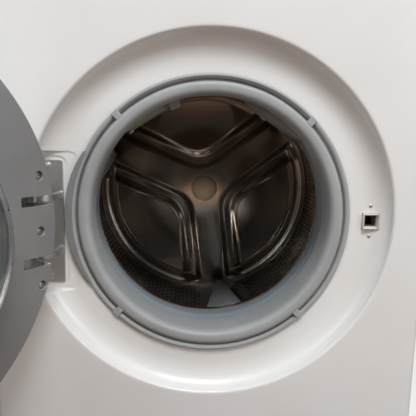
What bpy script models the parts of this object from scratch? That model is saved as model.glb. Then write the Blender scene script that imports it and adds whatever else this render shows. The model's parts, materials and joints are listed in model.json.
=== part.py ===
"""Front loading washing machine, standing on the floor with its door swung open.

Metres, +Z up, the front faces -Y. The origin is on the floor, under the middle of the cabinet.
Depths are counted from the front sheet into the machine, and rises from the middle of the porthole.
"""
import math

import bmesh
import bpy
from mathutils import Matrix, Vector

# Cabinet
WIDTH = 0.598
HEIGHT = 0.848
DEPTH = 0.550
FOOT_HEIGHT = 0.006
FOOT_RADIUS = 0.018
FOOT_INSET = 0.050
SHEET = 0.0012
PLASTIC = 0.0025
CORNER = 0.008
FRONT_RETURN = 0.014
WRAP_LIP = 0.016
SEAM = 0.0006
FIT = 0.0003
PLINTH_TOP = 0.078
FASCIA_HEIGHT = 0.103
WORKTOP_THICKNESS = 0.020
PAN_WALL = 0.045
PAN_BOSS = 0.003
PAN_BOSS_WIDTH = 0.160
PAN_BOSS_LENGTH = 0.120
COVER_HALF_WIDTH = 0.225
COVER_BOTTOM = 0.105
COVER_TOP = 0.700
COVER_LAP = 0.014
COVER_BULGE = 0.004

# Porthole: the dished front sheet round the drum's mouth
PORT_HEIGHT = 0.405
RIM_RADIUS = 0.250
RIM_ROUND = 0.004
DISH_FLOOR_RADIUS = 0.217
DISH_DEPTH = 0.025
PORT_RADIUS = 0.1935
PORT_FLANGE = 0.008
DISH_SHEET = 0.0010

# Door
DOOR_RADIUS = 0.242
DOOR_BACK = 0.0105
DOOR_FRONT = -0.0395
WINDOW_RADIUS = 0.166
DOOR_OPEN_ANGLE = 125.0
FRAME_INNER_RADIUS = 0.176
GLASS_FLANGE_RADIUS = 0.1715
GLASS_WALL = 0.004
COVER_SCREW_OFFSET = 0.220
COVER_SCREW_PITCH = 0.0692
COVER_RECESS_RADIUS = 0.0054
GRIP_HEIGHT = 0.090

# Hinge
HINGE_X = -0.232
HINGE_DEPTH = -0.019
HINGE_RISE = -0.0105
EAR_PITCH = 0.0765
EAR_THICKNESS = 0.009
EAR_RADIUS = 0.0225
EAR_WIDTH = 0.007
EAR_SLOT = 0.0125
KNUCKLE_PROUD = 0.0004
PIN_RADIUS = 0.0025
RUNNING = 0.0003
POCKET_FLOOR = 0.0275
POCKET_RIGHT = -0.188
POCKET_LEFT = -0.262
POCKET_HEIGHT = 0.195
POCKET_CORNER = 0.008
HINGE_PLATE = 0.0028
HINGE_PLATE_HEIGHT = 0.173
RIVET_PITCH = 0.156

# Door lock
LATCH_X = 0.227
LATCH_RISE = -0.003
LATCH_HOLE = 0.023
LATCH_FRONT = 0.0200
LATCH_THROAT = 0.0165
LATCH_REACH = 0.044
LOCK_SCREW_PITCH = 0.044
LOCK_SCREW_RADIUS = 0.0026

# Gasket, tub and drum
GASKET_RADIUS = 0.197
GASKET_LIP_RADIUS = 0.168
GASKET_MOUTH_RADIUS = 0.177
GASKET_BACK = 0.136
TUB_NECK_RADIUS = 0.190
TUB_RADIUS = 0.255
TUB_WALL = 0.0025
TUB_FRONT = 0.144
TUB_SPLIT = 0.300
TUB_BACK = 0.474
TUB_FLANGE = 0.007
DRUM_RADIUS = 0.2387
DRUM_MOUTH_RADIUS = 0.174
DRUM_FRONT = 0.150
DRUM_BACK = 0.448
DRUM_SHEET = 0.0010
DRUM_CROWN = 0.012
DRUM_TURN = 7.0
LIFTER_TOP_RADIUS = 0.186
LIFTER_FRONT = 0.158
LIFTER_BACK = 0.395
SHAFT_RADIUS = 0.0125
BEARING_RADIUS = 0.026
BEARING_WIDTH = 0.032
HUB_WALL = 0.010

# Drive
PULLEY_RADIUS = 0.150
PULLEY_WIDTH = 0.018
PULLEY_DEPTH = 0.506
MOTOR_X = -0.130
MOTOR_HEIGHT = 0.105
MOTOR_RADIUS = 0.052
MOTOR_LENGTH = 0.100
MOTOR_PULLEY_RADIUS = 0.0105
BELT_THICKNESS = 0.0025
BELT_WIDTH = 0.012

# Suspension
BOUNCE = 0.008
SPRING_X = 0.200
SPRING_DEPTH = 0.325
SPRING_RADIUS = 0.011
SPRING_WIRE = 0.0016
SPRING_TURNS = 7
SPRING_LENGTH = 0.130
CROSSBAR_HEIGHT = 0.748
CROSSBAR_SIZE = 0.022
DAMPER_X = 0.170
DAMPER_RADIUS = 0.014
DAMPER_TOP = 0.135
ROD_RADIUS = 0.0065
ROD_BOTTOM = 0.060
ROD_TOP = 0.190

# Controls
FASCIA_MIDDLE = 0.776
DRAWER_LEFT = -0.286
DRAWER_WIDTH = 0.172
DRAWER_HEIGHT = 0.084
DRAWER_LENGTH = 0.235
DRAWER_GAP = 0.001
KNOB_X = -0.030
KNOB_RADIUS = 0.026
KNOB_LENGTH = 0.017
DISPLAY_X = 0.100
DISPLAY_WIDTH = 0.110
DISPLAY_HEIGHT = 0.036
START_X = 0.215
START_RADIUS = 0.014
OPTION_WIDTH = 0.020
OPTION_HEIGHT = 0.008
OPTION_PITCH = 0.034
OPTION_DROP = 0.033
BUTTON_PROUD = 0.002
BUTTON_LENGTH = 0.010
BUTTON_GAP = 0.0005

# Service flap, drain filter and pump
FLAP_X = 0.190
FLAP_WIDTH = 0.120
FLAP_BOTTOM = 0.019
FLAP_HEIGHT = 0.050
FILTER_HEIGHT = 0.045
FILTER_RADIUS = 0.024
FILTER_DEPTH = 0.012
PUMP_RADIUS = 0.030
PUMP_LENGTH = 0.110

# Rear connections
CONNECTION_X = 0.200
CONNECTION_HEIGHT = 0.775
INLET_RADIUS = 0.0125
GLAND_RADIUS = 0.011

ROUND = 32
SMALL_ROUND = 20
FRONT = -DEPTH / 2
CARCASS_TOP = HEIGHT - WORKTOP_THICKNESS
FASCIA_BOTTOM = CARCASS_TOP - FASCIA_HEIGHT
SPOKE_ANGLES = tuple(30.0 + DRUM_TURN + turn for turn in (0.0, 120.0, 240.0))
LIFTER_ANGLES = tuple(angle + 3.0 for angle in SPOKE_ANGLES)

FINISHES = {
    "white_enamel": ((0.80, 0.80, 0.78), 0.0, 0.30),
    "white_plastic": ((0.78, 0.78, 0.76), 0.0, 0.40),
    "white_laminate": ((0.79, 0.79, 0.77), 0.0, 0.35),
    "grey_plastic": ((0.30, 0.30, 0.30), 0.0, 0.45),
    "dark_plastic": ((0.03, 0.03, 0.035), 0.0, 0.20),
    "tub_plastic": ((0.42, 0.44, 0.45), 0.0, 0.55),
    "grey_rubber": ((0.28, 0.30, 0.31), 0.0, 0.50),
    "black_rubber": ((0.02, 0.02, 0.02), 0.0, 0.70),
    "clear_glass": ((0.75, 0.80, 0.82), 0.0, 0.05),
    "drum_steel": ((0.55, 0.53, 0.50), 1.0, 0.22),
    "zinc_steel": ((0.50, 0.50, 0.49), 1.0, 0.38),
    "cast_aluminium": ((0.60, 0.60, 0.60), 1.0, 0.50),
    "cast_weight": ((0.25, 0.25, 0.24), 0.2, 0.85),
}


def clear_scene():
    for item in list(bpy.data.objects):
        bpy.data.objects.remove(item)


def make_collection(name):
    collection = bpy.data.collections.new(name)
    bpy.context.scene.collection.children.link(collection)
    return collection


clear_scene()
PARTS = make_collection("front_load_washing_machine")
CUTTERS = make_collection("cutters")


# Small geometry helpers

def port_point(x, depth, rise):
    """A place given from the middle of the porthole."""
    return Vector((x, FRONT + depth, PORT_HEIGHT + rise))


def floor_point(x, depth, height):
    """A place given from the floor."""
    return Vector((x, FRONT + depth, height))


def arc(centre, radius, start, end, count):
    """Points along an arc, in degrees. The radius may be a pair for an ellipse."""
    across, along = radius if isinstance(radius, tuple) else (radius, radius)
    points = []
    for step in range(count + 1):
        angle = math.radians(start + (end - start) * step / count)
        points.append((centre[0] + across * math.cos(angle), centre[1] + along * math.sin(angle)))
    return points


def rounded_rectangle(left, bottom, right, top, radius, count=3):
    corners = [(right - radius, top - radius, 0), (left + radius, top - radius, 90),
               (left + radius, bottom + radius, 180), (right - radius, bottom + radius, 270)]
    points = []
    for x, y, start in corners:
        points += arc((x, y), radius, start, start + 90, count)
    return points


# Makers of solids

def paint(piece, finish):
    colour, metallic, roughness = FINISHES[finish]
    material = bpy.data.materials.new(piece.name)
    material.use_nodes = True
    shader = material.node_tree.nodes["Principled BSDF"]
    shader.inputs["Base Color"].default_value = (*colour, 1.0)
    shader.inputs["Metallic"].default_value = metallic
    shader.inputs["Roughness"].default_value = roughness
    material.diffuse_color = (*colour, 1.0)
    piece.data.materials.clear()
    piece.data.materials.append(material)
    return piece


def new_piece(name, mesh, matrix=None):
    piece = bpy.data.objects.new(name, mesh)
    PARTS.objects.link(piece)
    if matrix is not None:
        piece.matrix_basis = matrix
    return piece


def smooth(piece, degrees=35.0):
    piece.data.shade_smooth()
    piece.data.set_sharp_from_angle(angle=math.radians(degrees))
    return piece


def block(name, low, high):
    """A box between two corners."""
    low, high = Vector(low), Vector(high)
    mesh = bpy.data.meshes.new(name)
    shape = bmesh.new()
    bmesh.ops.create_cube(shape, size=1.0)
    bmesh.ops.scale(shape, vec=high - low, verts=shape.verts)
    shape.to_mesh(mesh)
    shape.free()
    return new_piece(name, mesh, Matrix.Translation((low + high) / 2))


def tapered_block(name, front, back):
    """A block between two upright rectangles, each given as centre, width and height."""
    mesh = bpy.data.meshes.new(name)
    shape = bmesh.new()
    bmesh.ops.create_cube(shape, size=2.0)
    for vert in shape.verts:
        centre, width, height = back if vert.co.y > 0 else front
        reach = Vector((vert.co.x * width / 2, 0.0, vert.co.z * height / 2))
        vert.co = Vector(centre) + reach
    shape.to_mesh(mesh)
    shape.free()
    return new_piece(name, mesh)


def rod(name, start, end, radius, segments=SMALL_ROUND, end_radius=None):
    """A round bar from one point to another."""
    start, end = Vector(start), Vector(end)
    mesh = bpy.data.meshes.new(name)
    shape = bmesh.new()
    bmesh.ops.create_cone(shape, cap_ends=True, segments=segments, radius1=radius,
                          radius2=radius if end_radius is None else end_radius,
                          depth=(end - start).length)
    shape.to_mesh(mesh)
    shape.free()
    turn = (end - start).to_track_quat("Z", "Y").to_matrix().to_4x4()
    return smooth(new_piece(name, mesh, Matrix.Translation((start + end) / 2) @ turn))


def profile_mesh(name, points, closed):
    mesh = bpy.data.meshes.new(name)
    shape = bmesh.new()
    verts = [shape.verts.new((radius, 0.0, level)) for radius, level in points]
    for first, second in zip(verts, verts[1:]):
        shape.edges.new((first, second))
    if closed:
        shape.edges.new((verts[-1], verts[0]))
    shape.to_mesh(mesh)
    shape.free()
    return mesh


def spin(piece, segments):
    screw = piece.modifiers.new("turn", "SCREW")
    screw.axis = "Z"
    screw.angle = math.tau
    screw.steps = segments
    screw.render_steps = segments
    screw.use_merge_vertices = True
    screw.merge_threshold = 0.00001
    screw.use_smooth_shade = True
    return piece


def area_sign(points):
    total = 0.0
    for (r1, l1), (r2, l2) in zip(points, points[1:] + points[:1]):
        total += r1 * l2 - r2 * l1
    return total


def axis_matrix(centre, upright):
    """Stands a turned piece upright, or lays its axis along the depth with its top to the front."""
    turn = Matrix.Identity(4) if upright else Matrix.Rotation(math.pi / 2, 4, "X")
    return Matrix.Translation(centre) @ turn


def turned(name, points, centre, segments=ROUND, upright=False, on_axis=False):
    """A turned solid from its whole outline, as (radius, depth), or (radius, height) if upright."""
    levels = [(radius, level if upright else -level) for radius, level in points]
    if area_sign(levels) > 0:
        levels.reverse()
    piece = new_piece(name, profile_mesh(name, levels, not on_axis), axis_matrix(centre, upright))
    return spin(piece, segments)


def shell(name, line, thickness, outwards, centre, segments=ROUND):
    """A turned sheet whose line runs from front to back, thickened outwards or inwards."""
    levels = [(radius, -depth) for radius, depth in line]
    piece = new_piece(name, profile_mesh(name, levels, False), axis_matrix(centre, False))
    spin(piece, segments)
    wall = piece.modifiers.new("wall", "SOLIDIFY")
    wall.thickness = thickness
    wall.offset = 1.0 if outwards else -1.0
    wall.use_even_offset = True
    return piece


def meshed(curve_piece):
    """Turns a curve object into a mesh object with welded caps."""
    bpy.context.view_layer.update()
    graph = bpy.context.evaluated_depsgraph_get()
    mesh = bpy.data.meshes.new_from_object(curve_piece.evaluated_get(graph))
    shape = bmesh.new()
    shape.from_mesh(mesh)
    bmesh.ops.remove_doubles(shape, verts=shape.verts, dist=0.00001)
    bmesh.ops.recalc_face_normals(shape, faces=shape.faces)
    shape.to_mesh(mesh)
    shape.free()
    name, matrix = curve_piece.name, curve_piece.matrix_world.copy()
    bpy.data.objects.remove(curve_piece)
    mesh.name = name
    return new_piece(name, mesh, matrix)


def slab(name, loops, thickness, centre, facing_front=True):
    """A flat outline, with its holes as further loops, given a thickness.

    It faces the front with its loops as (x, z), or lies flat with its loops as (x, y).
    """
    curve = bpy.data.curves.new(name, "CURVE")
    curve.dimensions = "2D"
    curve.fill_mode = "BOTH"
    curve.extrude = thickness / 2
    for loop in loops:
        spline = curve.splines.new("POLY")
        spline.points.add(len(loop) - 1)
        for point, (across, along) in zip(spline.points, loop):
            point.co = (across, along, 0.0, 1.0)
        spline.use_cyclic_u = True
    turn = Matrix.Rotation(math.pi / 2, 4, "X") if facing_front else Matrix.Identity(4)
    return meshed(new_piece(name, curve, Matrix.Translation(centre) @ turn))


def wire(name, points, radius, resolution=0):
    curve = bpy.data.curves.new(name, "CURVE")
    curve.dimensions = "3D"
    curve.bevel_depth = radius
    curve.bevel_resolution = resolution
    curve.use_fill_caps = True
    spline = curve.splines.new("POLY")
    spline.points.add(len(points) - 1)
    for point, place in zip(spline.points, points):
        point.co = (*place, 1.0)
    return smooth(meshed(new_piece(name, curve)))


def hide_tool(tool, owner):
    tool.name = "tool_" + tool.name
    tool.hide_render = True
    tool.display_type = "WIRE"
    PARTS.objects.unlink(tool)
    CUTTERS.objects.link(tool)
    tool.parent = owner
    tool.matrix_parent_inverse = owner.matrix_basis.inverted()


def combine(piece, tool, operation):
    step = piece.modifiers.new(tool.name, "BOOLEAN")
    step.operation = operation
    step.solver = "EXACT"
    step.object = tool
    hide_tool(tool, piece)
    return piece


def cut(piece, tool):
    return combine(piece, tool, "DIFFERENCE")


def add(piece, tool):
    return combine(piece, tool, "UNION")


def joint_empty(name, place, parent=None):
    empty = bpy.data.objects.new(name, None)
    PARTS.objects.link(empty)
    empty.location = place
    empty.empty_display_size = 0.03
    if parent is not None:
        empty.parent = parent
        empty.matrix_parent_inverse = parent.matrix_basis.inverted()
    return empty


def hang(pieces, empty, origin):
    """Parents pieces to an empty that stands at the given origin, where they are modelled."""
    for piece in pieces:
        piece.parent = empty
        piece.matrix_parent_inverse = Matrix.Translation(origin).inverted()


# Cabinet

def tray_outline(depth, wall):
    """Top view of a front piece whose upright edges are rounded and turned back."""
    half = WIDTH / 2
    inner = CORNER - wall
    right, left = (half - CORNER, CORNER), (CORNER - half, CORNER)
    outer_edge = [(half, depth)] + arc(right, CORNER, 0, -90, 3)
    outer_edge += arc(left, CORNER, -90, -180, 3) + [(-half, depth)]
    inner_edge = [(wall - half, depth)] + arc(left, inner, -180, -90, 3)
    inner_edge += arc(right, inner, -90, 0, 3) + [(half - wall, depth)]
    return outer_edge + inner_edge


def front_tray(name, bottom, top, wall):
    middle = floor_point(0.0, 0.0, (bottom + top) / 2)
    return slab(name, [tray_outline(FRONT_RETURN, wall)], top - bottom, middle, facing_front=False)


def base_pan():
    half = WIDTH / 2 - SHEET - FIT
    front, back = FRONT_RETURN + SEAM + SHEET + FIT, DEPTH - SHEET - FIT
    top = FOOT_HEIGHT + PAN_WALL
    pan = block("base_pan", floor_point(-half, front, FOOT_HEIGHT), floor_point(half, back, top))
    cut(pan, block("pan_inside", floor_point(SHEET - half, front + SHEET, FOOT_HEIGHT + SHEET),
                   floor_point(half - SHEET, back - SHEET, top + SHEET)))
    middle = DEPTH / 2
    add(pan, block("jacking_boss", floor_point(-PAN_BOSS_WIDTH / 2, middle - PAN_BOSS_LENGTH / 2,
                                               FOOT_HEIGHT - PAN_BOSS),
                   floor_point(PAN_BOSS_WIDTH / 2, middle + PAN_BOSS_LENGTH / 2, FOOT_HEIGHT + SHEET / 2)))
    reach = PUMP_RADIUS + FIT * 10
    cut(pan, block("pump_notch", floor_point(FLAP_X - reach, 0.0, FILTER_HEIGHT - reach),
                   floor_point(FLAP_X + reach, front + 2 * SHEET, top + SHEET)))
    return [paint(pan, "zinc_steel")]


def feet():
    x = WIDTH / 2 - FOOT_INSET
    pieces = []
    for number, (side, depth) in enumerate(((-x, FOOT_INSET), (x, FOOT_INSET), (-x, DEPTH - FOOT_INSET),
                                            (x, DEPTH - FOOT_INSET)), start=1):
        foot = rod(f"foot_{number}", floor_point(side, depth, 0.0),
                   floor_point(side, depth, FOOT_HEIGHT - FIT), FOOT_RADIUS * 0.9, end_radius=FOOT_RADIUS)
        pieces.append(paint(foot, "black_rubber"))
    return pieces


def wrap_outline():
    """Top view of the bent sheet that makes both sides, the back and the front lips."""
    half = WIDTH / 2
    front = FRONT_RETURN + SEAM
    lip = half - WRAP_LIP
    outer_edge = [(lip, front), (half, front), (half, DEPTH), (-half, DEPTH), (-half, front), (-lip, front)]
    inner_edge = [(-lip, front + SHEET), (SHEET - half, front + SHEET), (SHEET - half, DEPTH - SHEET),
                  (half - SHEET, DEPTH - SHEET), (half - SHEET, front + SHEET), (lip, front + SHEET)]
    return outer_edge + inner_edge


def cabinet_wrap():
    bottom, top = FOOT_HEIGHT, CARCASS_TOP - SEAM
    wrap = slab("cabinet_wrap", [wrap_outline()], top - bottom,
                floor_point(0.0, 0.0, (bottom + top) / 2), facing_front=False)
    edge = COVER_HALF_WIDTH - COVER_LAP
    cut(wrap, block("rear_opening", floor_point(-edge, DEPTH - 0.01, COVER_BOTTOM + COVER_LAP),
                    floor_point(edge, DEPTH + 0.01, COVER_TOP - COVER_LAP)))
    reach = WIDTH / 2 - 2 * SHEET
    cut(wrap, block("fascia_notch", floor_point(-reach, 0.0, FASCIA_BOTTOM), floor_point(reach, 0.03, HEIGHT)))
    for side, radius in ((CONNECTION_X, INLET_RADIUS), (-CONNECTION_X, GLAND_RADIUS)):
        cut(wrap, rod("rear_hole", floor_point(side, DEPTH - 0.01, CONNECTION_HEIGHT),
                      floor_point(side, DEPTH + 0.01, CONNECTION_HEIGHT), radius + 0.001))
    return [paint(wrap, "white_enamel")]


def rear_cover():
    half = COVER_HALF_WIDTH
    depth = DEPTH + FIT
    cover = block("rear_cover", floor_point(-half, depth, COVER_BOTTOM), floor_point(half, depth + SHEET, COVER_TOP))
    height = COVER_TOP - COVER_BOTTOM
    middle = (COVER_TOP + COVER_BOTTOM) / 2
    for name, shift, operation in (("cover_bulge", COVER_BULGE, add), ("cover_hollow", COVER_BULGE - SHEET, cut)):
        margin = 2.2 * COVER_LAP if operation is add else 2.2 * COVER_LAP + SHEET
        start = depth + SHEET / 2 if operation is add else depth - SHEET
        widths = (2 * (half - margin), 2 * (half - margin - COVER_BULGE))
        heights = (height - 2 * margin, height - 2 * (margin + COVER_BULGE))
        operation(cover, tapered_block(name, (floor_point(0.0, start, middle), widths[0], heights[0]),
                                       (floor_point(0.0, depth + SHEET + shift, middle), widths[1], heights[1])))
    return [paint(cover, "zinc_steel")]


def worktop():
    half = WIDTH / 2
    top = slab("worktop", [rounded_rectangle(-half, 0.0, half, DEPTH, CORNER)], WORKTOP_THICKNESS - FIT,
               floor_point(0.0, 0.0, HEIGHT - (WORKTOP_THICKNESS - FIT) / 2), facing_front=False)
    return [paint(top, "white_laminate")]


def dish_line(shift=0.0):
    """The dished sheet's front line, from the rim's round down the cove and into the porthole."""
    lead = DISH_SHEET / 10
    line = [(RIM_RADIUS + RIM_ROUND + 0.002, lead)]
    line += arc((RIM_RADIUS + RIM_ROUND, lead + RIM_ROUND), RIM_ROUND, 270, 180, 2)
    cove_top = lead + RIM_ROUND
    cove = (RIM_RADIUS - DISH_FLOOR_RADIUS, DISH_DEPTH - cove_top)
    line += arc((DISH_FLOOR_RADIUS, cove_top), cove, 0, 90, 5)[1:]
    line += arc((PORT_RADIUS + 0.003, DISH_DEPTH + 0.003), 0.003, 270, 180, 2)
    line.append((PORT_RADIUS, DISH_DEPTH + PORT_FLANGE))
    return [(radius + shift, depth + shift) for radius, depth in line]


def pocket_outline(grow=0.0):
    low, high = HINGE_RISE - POCKET_HEIGHT / 2 - grow, HINGE_RISE + POCKET_HEIGHT / 2 + grow
    return rounded_rectangle(POCKET_LEFT - grow, low, POCKET_RIGHT + grow, high, POCKET_CORNER + grow)


def pocket_tool(name, front, back, grow=0.0):
    """The pocket's shape, which stops short of the gasket's seat."""
    tool = slab(name, [pocket_outline(grow)], back - front, port_point(0.0, (front + back) / 2, 0.0))
    return cut(tool, rod("gasket_seat", port_point(0.0, 2 * front - 0.01, 0.0), port_point(0.0, 2 * back, 0.0),
                         GASKET_RADIUS + 2 * SHEET - grow, segments=ROUND))


def front_panel():
    """One pressed sheet: a flat front, the dish round the porthole and the hinge's pocket."""
    centre = port_point(0.0, 0.0, 0.0)
    panel = shell("front_panel", dish_line(), DISH_SHEET, True, centre)
    tray = pocket_tool("pocket_tray", SHEET / 2, POCKET_FLOOR + SHEET, SHEET)
    cove = dish_line(DISH_SHEET * 0.4)[3:9]
    room = [(0.0, -0.01), (cove[0][0], -0.01)] + cove + [(0.0, cove[-1][1])]
    cut(tray, turned("room_before_dish", room, centre, on_axis=True))
    add(panel, tray)
    cut(panel, pocket_tool("pocket_room", -0.02, POCKET_FLOOR))
    reach = LATCH_HOLE / 2
    cut(panel, block("latch_hole", port_point(LATCH_X - reach, 0.0, LATCH_RISE - reach),
                     port_point(LATCH_X + reach, 2 * DISH_DEPTH, LATCH_RISE + reach)))
    for rise in lock_screw_rises():
        cut(panel, rod("lock_screw_hole", port_point(LATCH_X, 0.0, rise),
                       port_point(LATCH_X, 2 * DISH_DEPTH, rise), LOCK_SCREW_RADIUS * 0.6 + 2 * FIT, segments=10))
    flat = front_tray("flat_front", PLINTH_TOP + SEAM, FASCIA_BOTTOM - SEAM, SHEET)
    cut(flat, rod("dish_opening", port_point(0.0, -0.01, 0.0), port_point(0.0, 0.01, 0.0),
                  RIM_RADIUS + RIM_ROUND + 0.001, segments=ROUND))
    cut(flat, pocket_tool("pocket_opening", -0.02, 0.01, SHEET / 2))
    add(panel, flat)
    return [paint(panel, "white_enamel")]


def plinth():
    piece = front_tray("plinth", FOOT_HEIGHT + 0.006, PLINTH_TOP - SEAM, PLASTIC)
    half = FLAP_WIDTH / 2 + 2 * SEAM
    cut(piece, block("flap_opening", floor_point(FLAP_X - half, -0.01, FLAP_BOTTOM - 2 * SEAM),
                     floor_point(FLAP_X + half, 0.01, FLAP_BOTTOM + FLAP_HEIGHT + 2 * SEAM)))
    return [paint(piece, "white_plastic")]


def service_flap():
    half = FLAP_WIDTH / 2
    flap = block("service_flap", floor_point(FLAP_X - half, 0.0, FLAP_BOTTOM),
                 floor_point(FLAP_X + half, PLASTIC, FLAP_BOTTOM + FLAP_HEIGHT))
    origin = floor_point(FLAP_X, PLASTIC / 2, FLAP_BOTTOM + PLASTIC / 2)
    hang([paint(flap, "white_plastic")], joint_empty("flap_axis", origin), origin)
    return [flap]


def drain_filter():
    front = floor_point(FLAP_X, FILTER_DEPTH, FILTER_HEIGHT)
    cap = rod("filter_cap", front, front + Vector((0.0, 0.012, 0.0)), FILTER_RADIUS)
    add(cap, block("filter_grip", front + Vector((-0.0175, -0.007, -0.003)), front + Vector((0.0175, 0.002, 0.003))))
    hang([paint(cap, "grey_plastic")], joint_empty("filter_axis", front), front)
    start = front + Vector((0.0, 0.012 + FIT, 0.0))
    pump = rod("drain_pump", start, start + Vector((0.0, 0.020, 0.0)), PUMP_RADIUS)
    add(pump, rod("pump_body", start + Vector((0.0, 0.015, 0.0)), start + Vector((0.0, PUMP_LENGTH, 0.0)),
                  PUMP_RADIUS * 0.85))
    return [cap, paint(pump, "grey_plastic")]


# Controls

def option_places():
    return [DISPLAY_X + OPTION_PITCH * step for step in (-0.5, 0.5)]


def control_panel():
    panel = front_tray("control_panel", FASCIA_BOTTOM, CARCASS_TOP - SEAM, PLASTIC)
    half = DRAWER_HEIGHT / 2
    cut(panel, block("drawer_opening", floor_point(DRAWER_LEFT, -0.01, FASCIA_MIDDLE - half),
                     floor_point(DRAWER_LEFT + DRAWER_WIDTH, 0.01, FASCIA_MIDDLE + half)))
    wide, high = DISPLAY_WIDTH / 2 + FIT, DISPLAY_HEIGHT / 2 + FIT
    cut(panel, block("display_opening", floor_point(DISPLAY_X - wide, -0.01, FASCIA_MIDDLE - high),
                     floor_point(DISPLAY_X + wide, 0.01, FASCIA_MIDDLE + high)))
    cut(panel, rod("knob_hole", floor_point(KNOB_X, -0.01, FASCIA_MIDDLE),
                   floor_point(KNOB_X, 0.01, FASCIA_MIDDLE), 0.005 + BUTTON_GAP))
    cut(panel, rod("start_hole", floor_point(START_X, -0.01, FASCIA_MIDDLE),
                   floor_point(START_X, 0.01, FASCIA_MIDDLE), START_RADIUS + BUTTON_GAP))
    for x in option_places():
        wide, high = OPTION_WIDTH / 2 + BUTTON_GAP, OPTION_HEIGHT / 2 + BUTTON_GAP
        height = FASCIA_MIDDLE - OPTION_DROP
        cut(panel, block("option_hole", floor_point(x - wide, -0.01, height - high),
                         floor_point(x + wide, 0.01, height + high)))
    return [paint(panel, "white_plastic")]


def display_window():
    wide, high = DISPLAY_WIDTH / 2, DISPLAY_HEIGHT / 2
    window = block("display_window", floor_point(DISPLAY_X - wide, -0.0005, FASCIA_MIDDLE - high),
                   floor_point(DISPLAY_X + wide, PLASTIC, FASCIA_MIDDLE + high))
    return [paint(window, "dark_plastic")]


def programme_knob():
    centre = floor_point(KNOB_X, 0.0, FASCIA_MIDDLE)
    front, back = -KNOB_LENGTH - 0.001, -0.001
    outline = [(0.0, front + 0.001), (KNOB_RADIUS - 0.006, front + 0.001), (KNOB_RADIUS - 0.004, front),
               (KNOB_RADIUS - 0.002, front + 0.002), (KNOB_RADIUS, back), (0.005, back), (0.005, 0.012), (0.0, 0.012)]
    knob = turned("programme_knob", outline, centre, segments=28, on_axis=True)
    hang([paint(knob, "grey_plastic")], joint_empty("knob_axis", centre), centre)
    return [knob]


def buttons():
    pieces = []
    centre = floor_point(START_X, -BUTTON_PROUD, FASCIA_MIDDLE)
    start = rod("start_button", centre, centre + Vector((0.0, BUTTON_LENGTH, 0.0)), START_RADIUS)
    hang([start], joint_empty("start_axis", centre), centre)
    pieces.append(paint(start, "grey_plastic"))
    for number, x in enumerate(option_places(), start=1):
        centre = floor_point(x, -BUTTON_PROUD, FASCIA_MIDDLE - OPTION_DROP)
        reach = Vector((OPTION_WIDTH / 2, 0.0, OPTION_HEIGHT / 2))
        button = block(f"option_button_{number}", centre - reach, centre + reach + Vector((0.0, BUTTON_LENGTH, 0.0)))
        hang([button], joint_empty(f"option_axis_{number}", centre), centre)
        pieces.append(paint(button, "grey_plastic"))
    return pieces


def dispenser():
    wall = 0.002
    right = DRAWER_LEFT + DRAWER_WIDTH
    low, high = FASCIA_MIDDLE - DRAWER_HEIGHT / 2, FASCIA_MIDDLE + DRAWER_HEIGHT / 2
    front = PLASTIC + FIT
    back = front + DRAWER_LENGTH + 0.012
    housing = block("dispenser_housing", floor_point(DRAWER_LEFT - wall, front, low - wall),
                    floor_point(right + wall, back, high + wall))
    cut(housing, block("housing_room", floor_point(DRAWER_LEFT, front - 0.01, low),
                       floor_point(right, back - wall, high)))
    edge = DRAWER_GAP
    drawer = block("detergent_drawer", floor_point(DRAWER_LEFT + edge, 0.0, low + edge),
                   floor_point(right - edge, 0.014, high - edge))
    body_low, body_high = low + 3 * edge, high - 0.012
    add(drawer, block("drawer_tray", floor_point(DRAWER_LEFT + 3 * edge, 0.010, body_low),
                      floor_point(right - 3 * edge, DRAWER_LENGTH, body_high)))
    room = (DRAWER_WIDTH - 6 * edge - 4 * wall) / 3
    for place in range(3):
        left = DRAWER_LEFT + 3 * edge + wall + place * (room + wall)
        cut(drawer, block("drawer_room", floor_point(left, 0.014 + wall, body_low + wall),
                          floor_point(left + room, DRAWER_LENGTH - wall, body_high + wall)))
    grip = 0.045
    middle = DRAWER_LEFT + DRAWER_WIDTH / 2
    cut(drawer, block("drawer_grip", floor_point(middle - grip, -0.01, low), floor_point(middle + grip, 0.011, low + 0.022)))
    origin = floor_point(middle, 0.0, FASCIA_MIDDLE)
    hang([paint(drawer, "white_plastic")], joint_empty("drawer_axis", origin), origin)
    return [paint(housing, "grey_plastic"), drawer]


# Hinge and door

def ear_rises():
    return [HINGE_RISE + EAR_PITCH / 2, HINGE_RISE - EAR_PITCH / 2]


def ear(name, rise, back):
    """A gooseneck that runs from the hinge plate round to the pin, seen from above."""
    centre = (HINGE_X, HINGE_DEPTH + EAR_RADIUS)
    half = EAR_WIDTH / 2
    outer = arc(centre, EAR_RADIUS + half, -90, 0, 5)
    inner = arc(centre, EAR_RADIUS - half, 0, -90, 5)
    outline = outer + [(outer[-1][0], back), (inner[0][0], back)] + inner
    middle = port_point(0.0, 0.0, rise)
    neck = slab(name, [outline], EAR_THICKNESS, middle, facing_front=False)
    reach = Vector((0.0, 0.0, EAR_THICKNESS / 2 + KNUCKLE_PROUD))
    pin = port_point(HINGE_X, HINGE_DEPTH, rise)
    return add(neck, rod(name + "_knuckle", pin - reach, pin + reach, EAR_WIDTH * 0.85))


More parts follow.
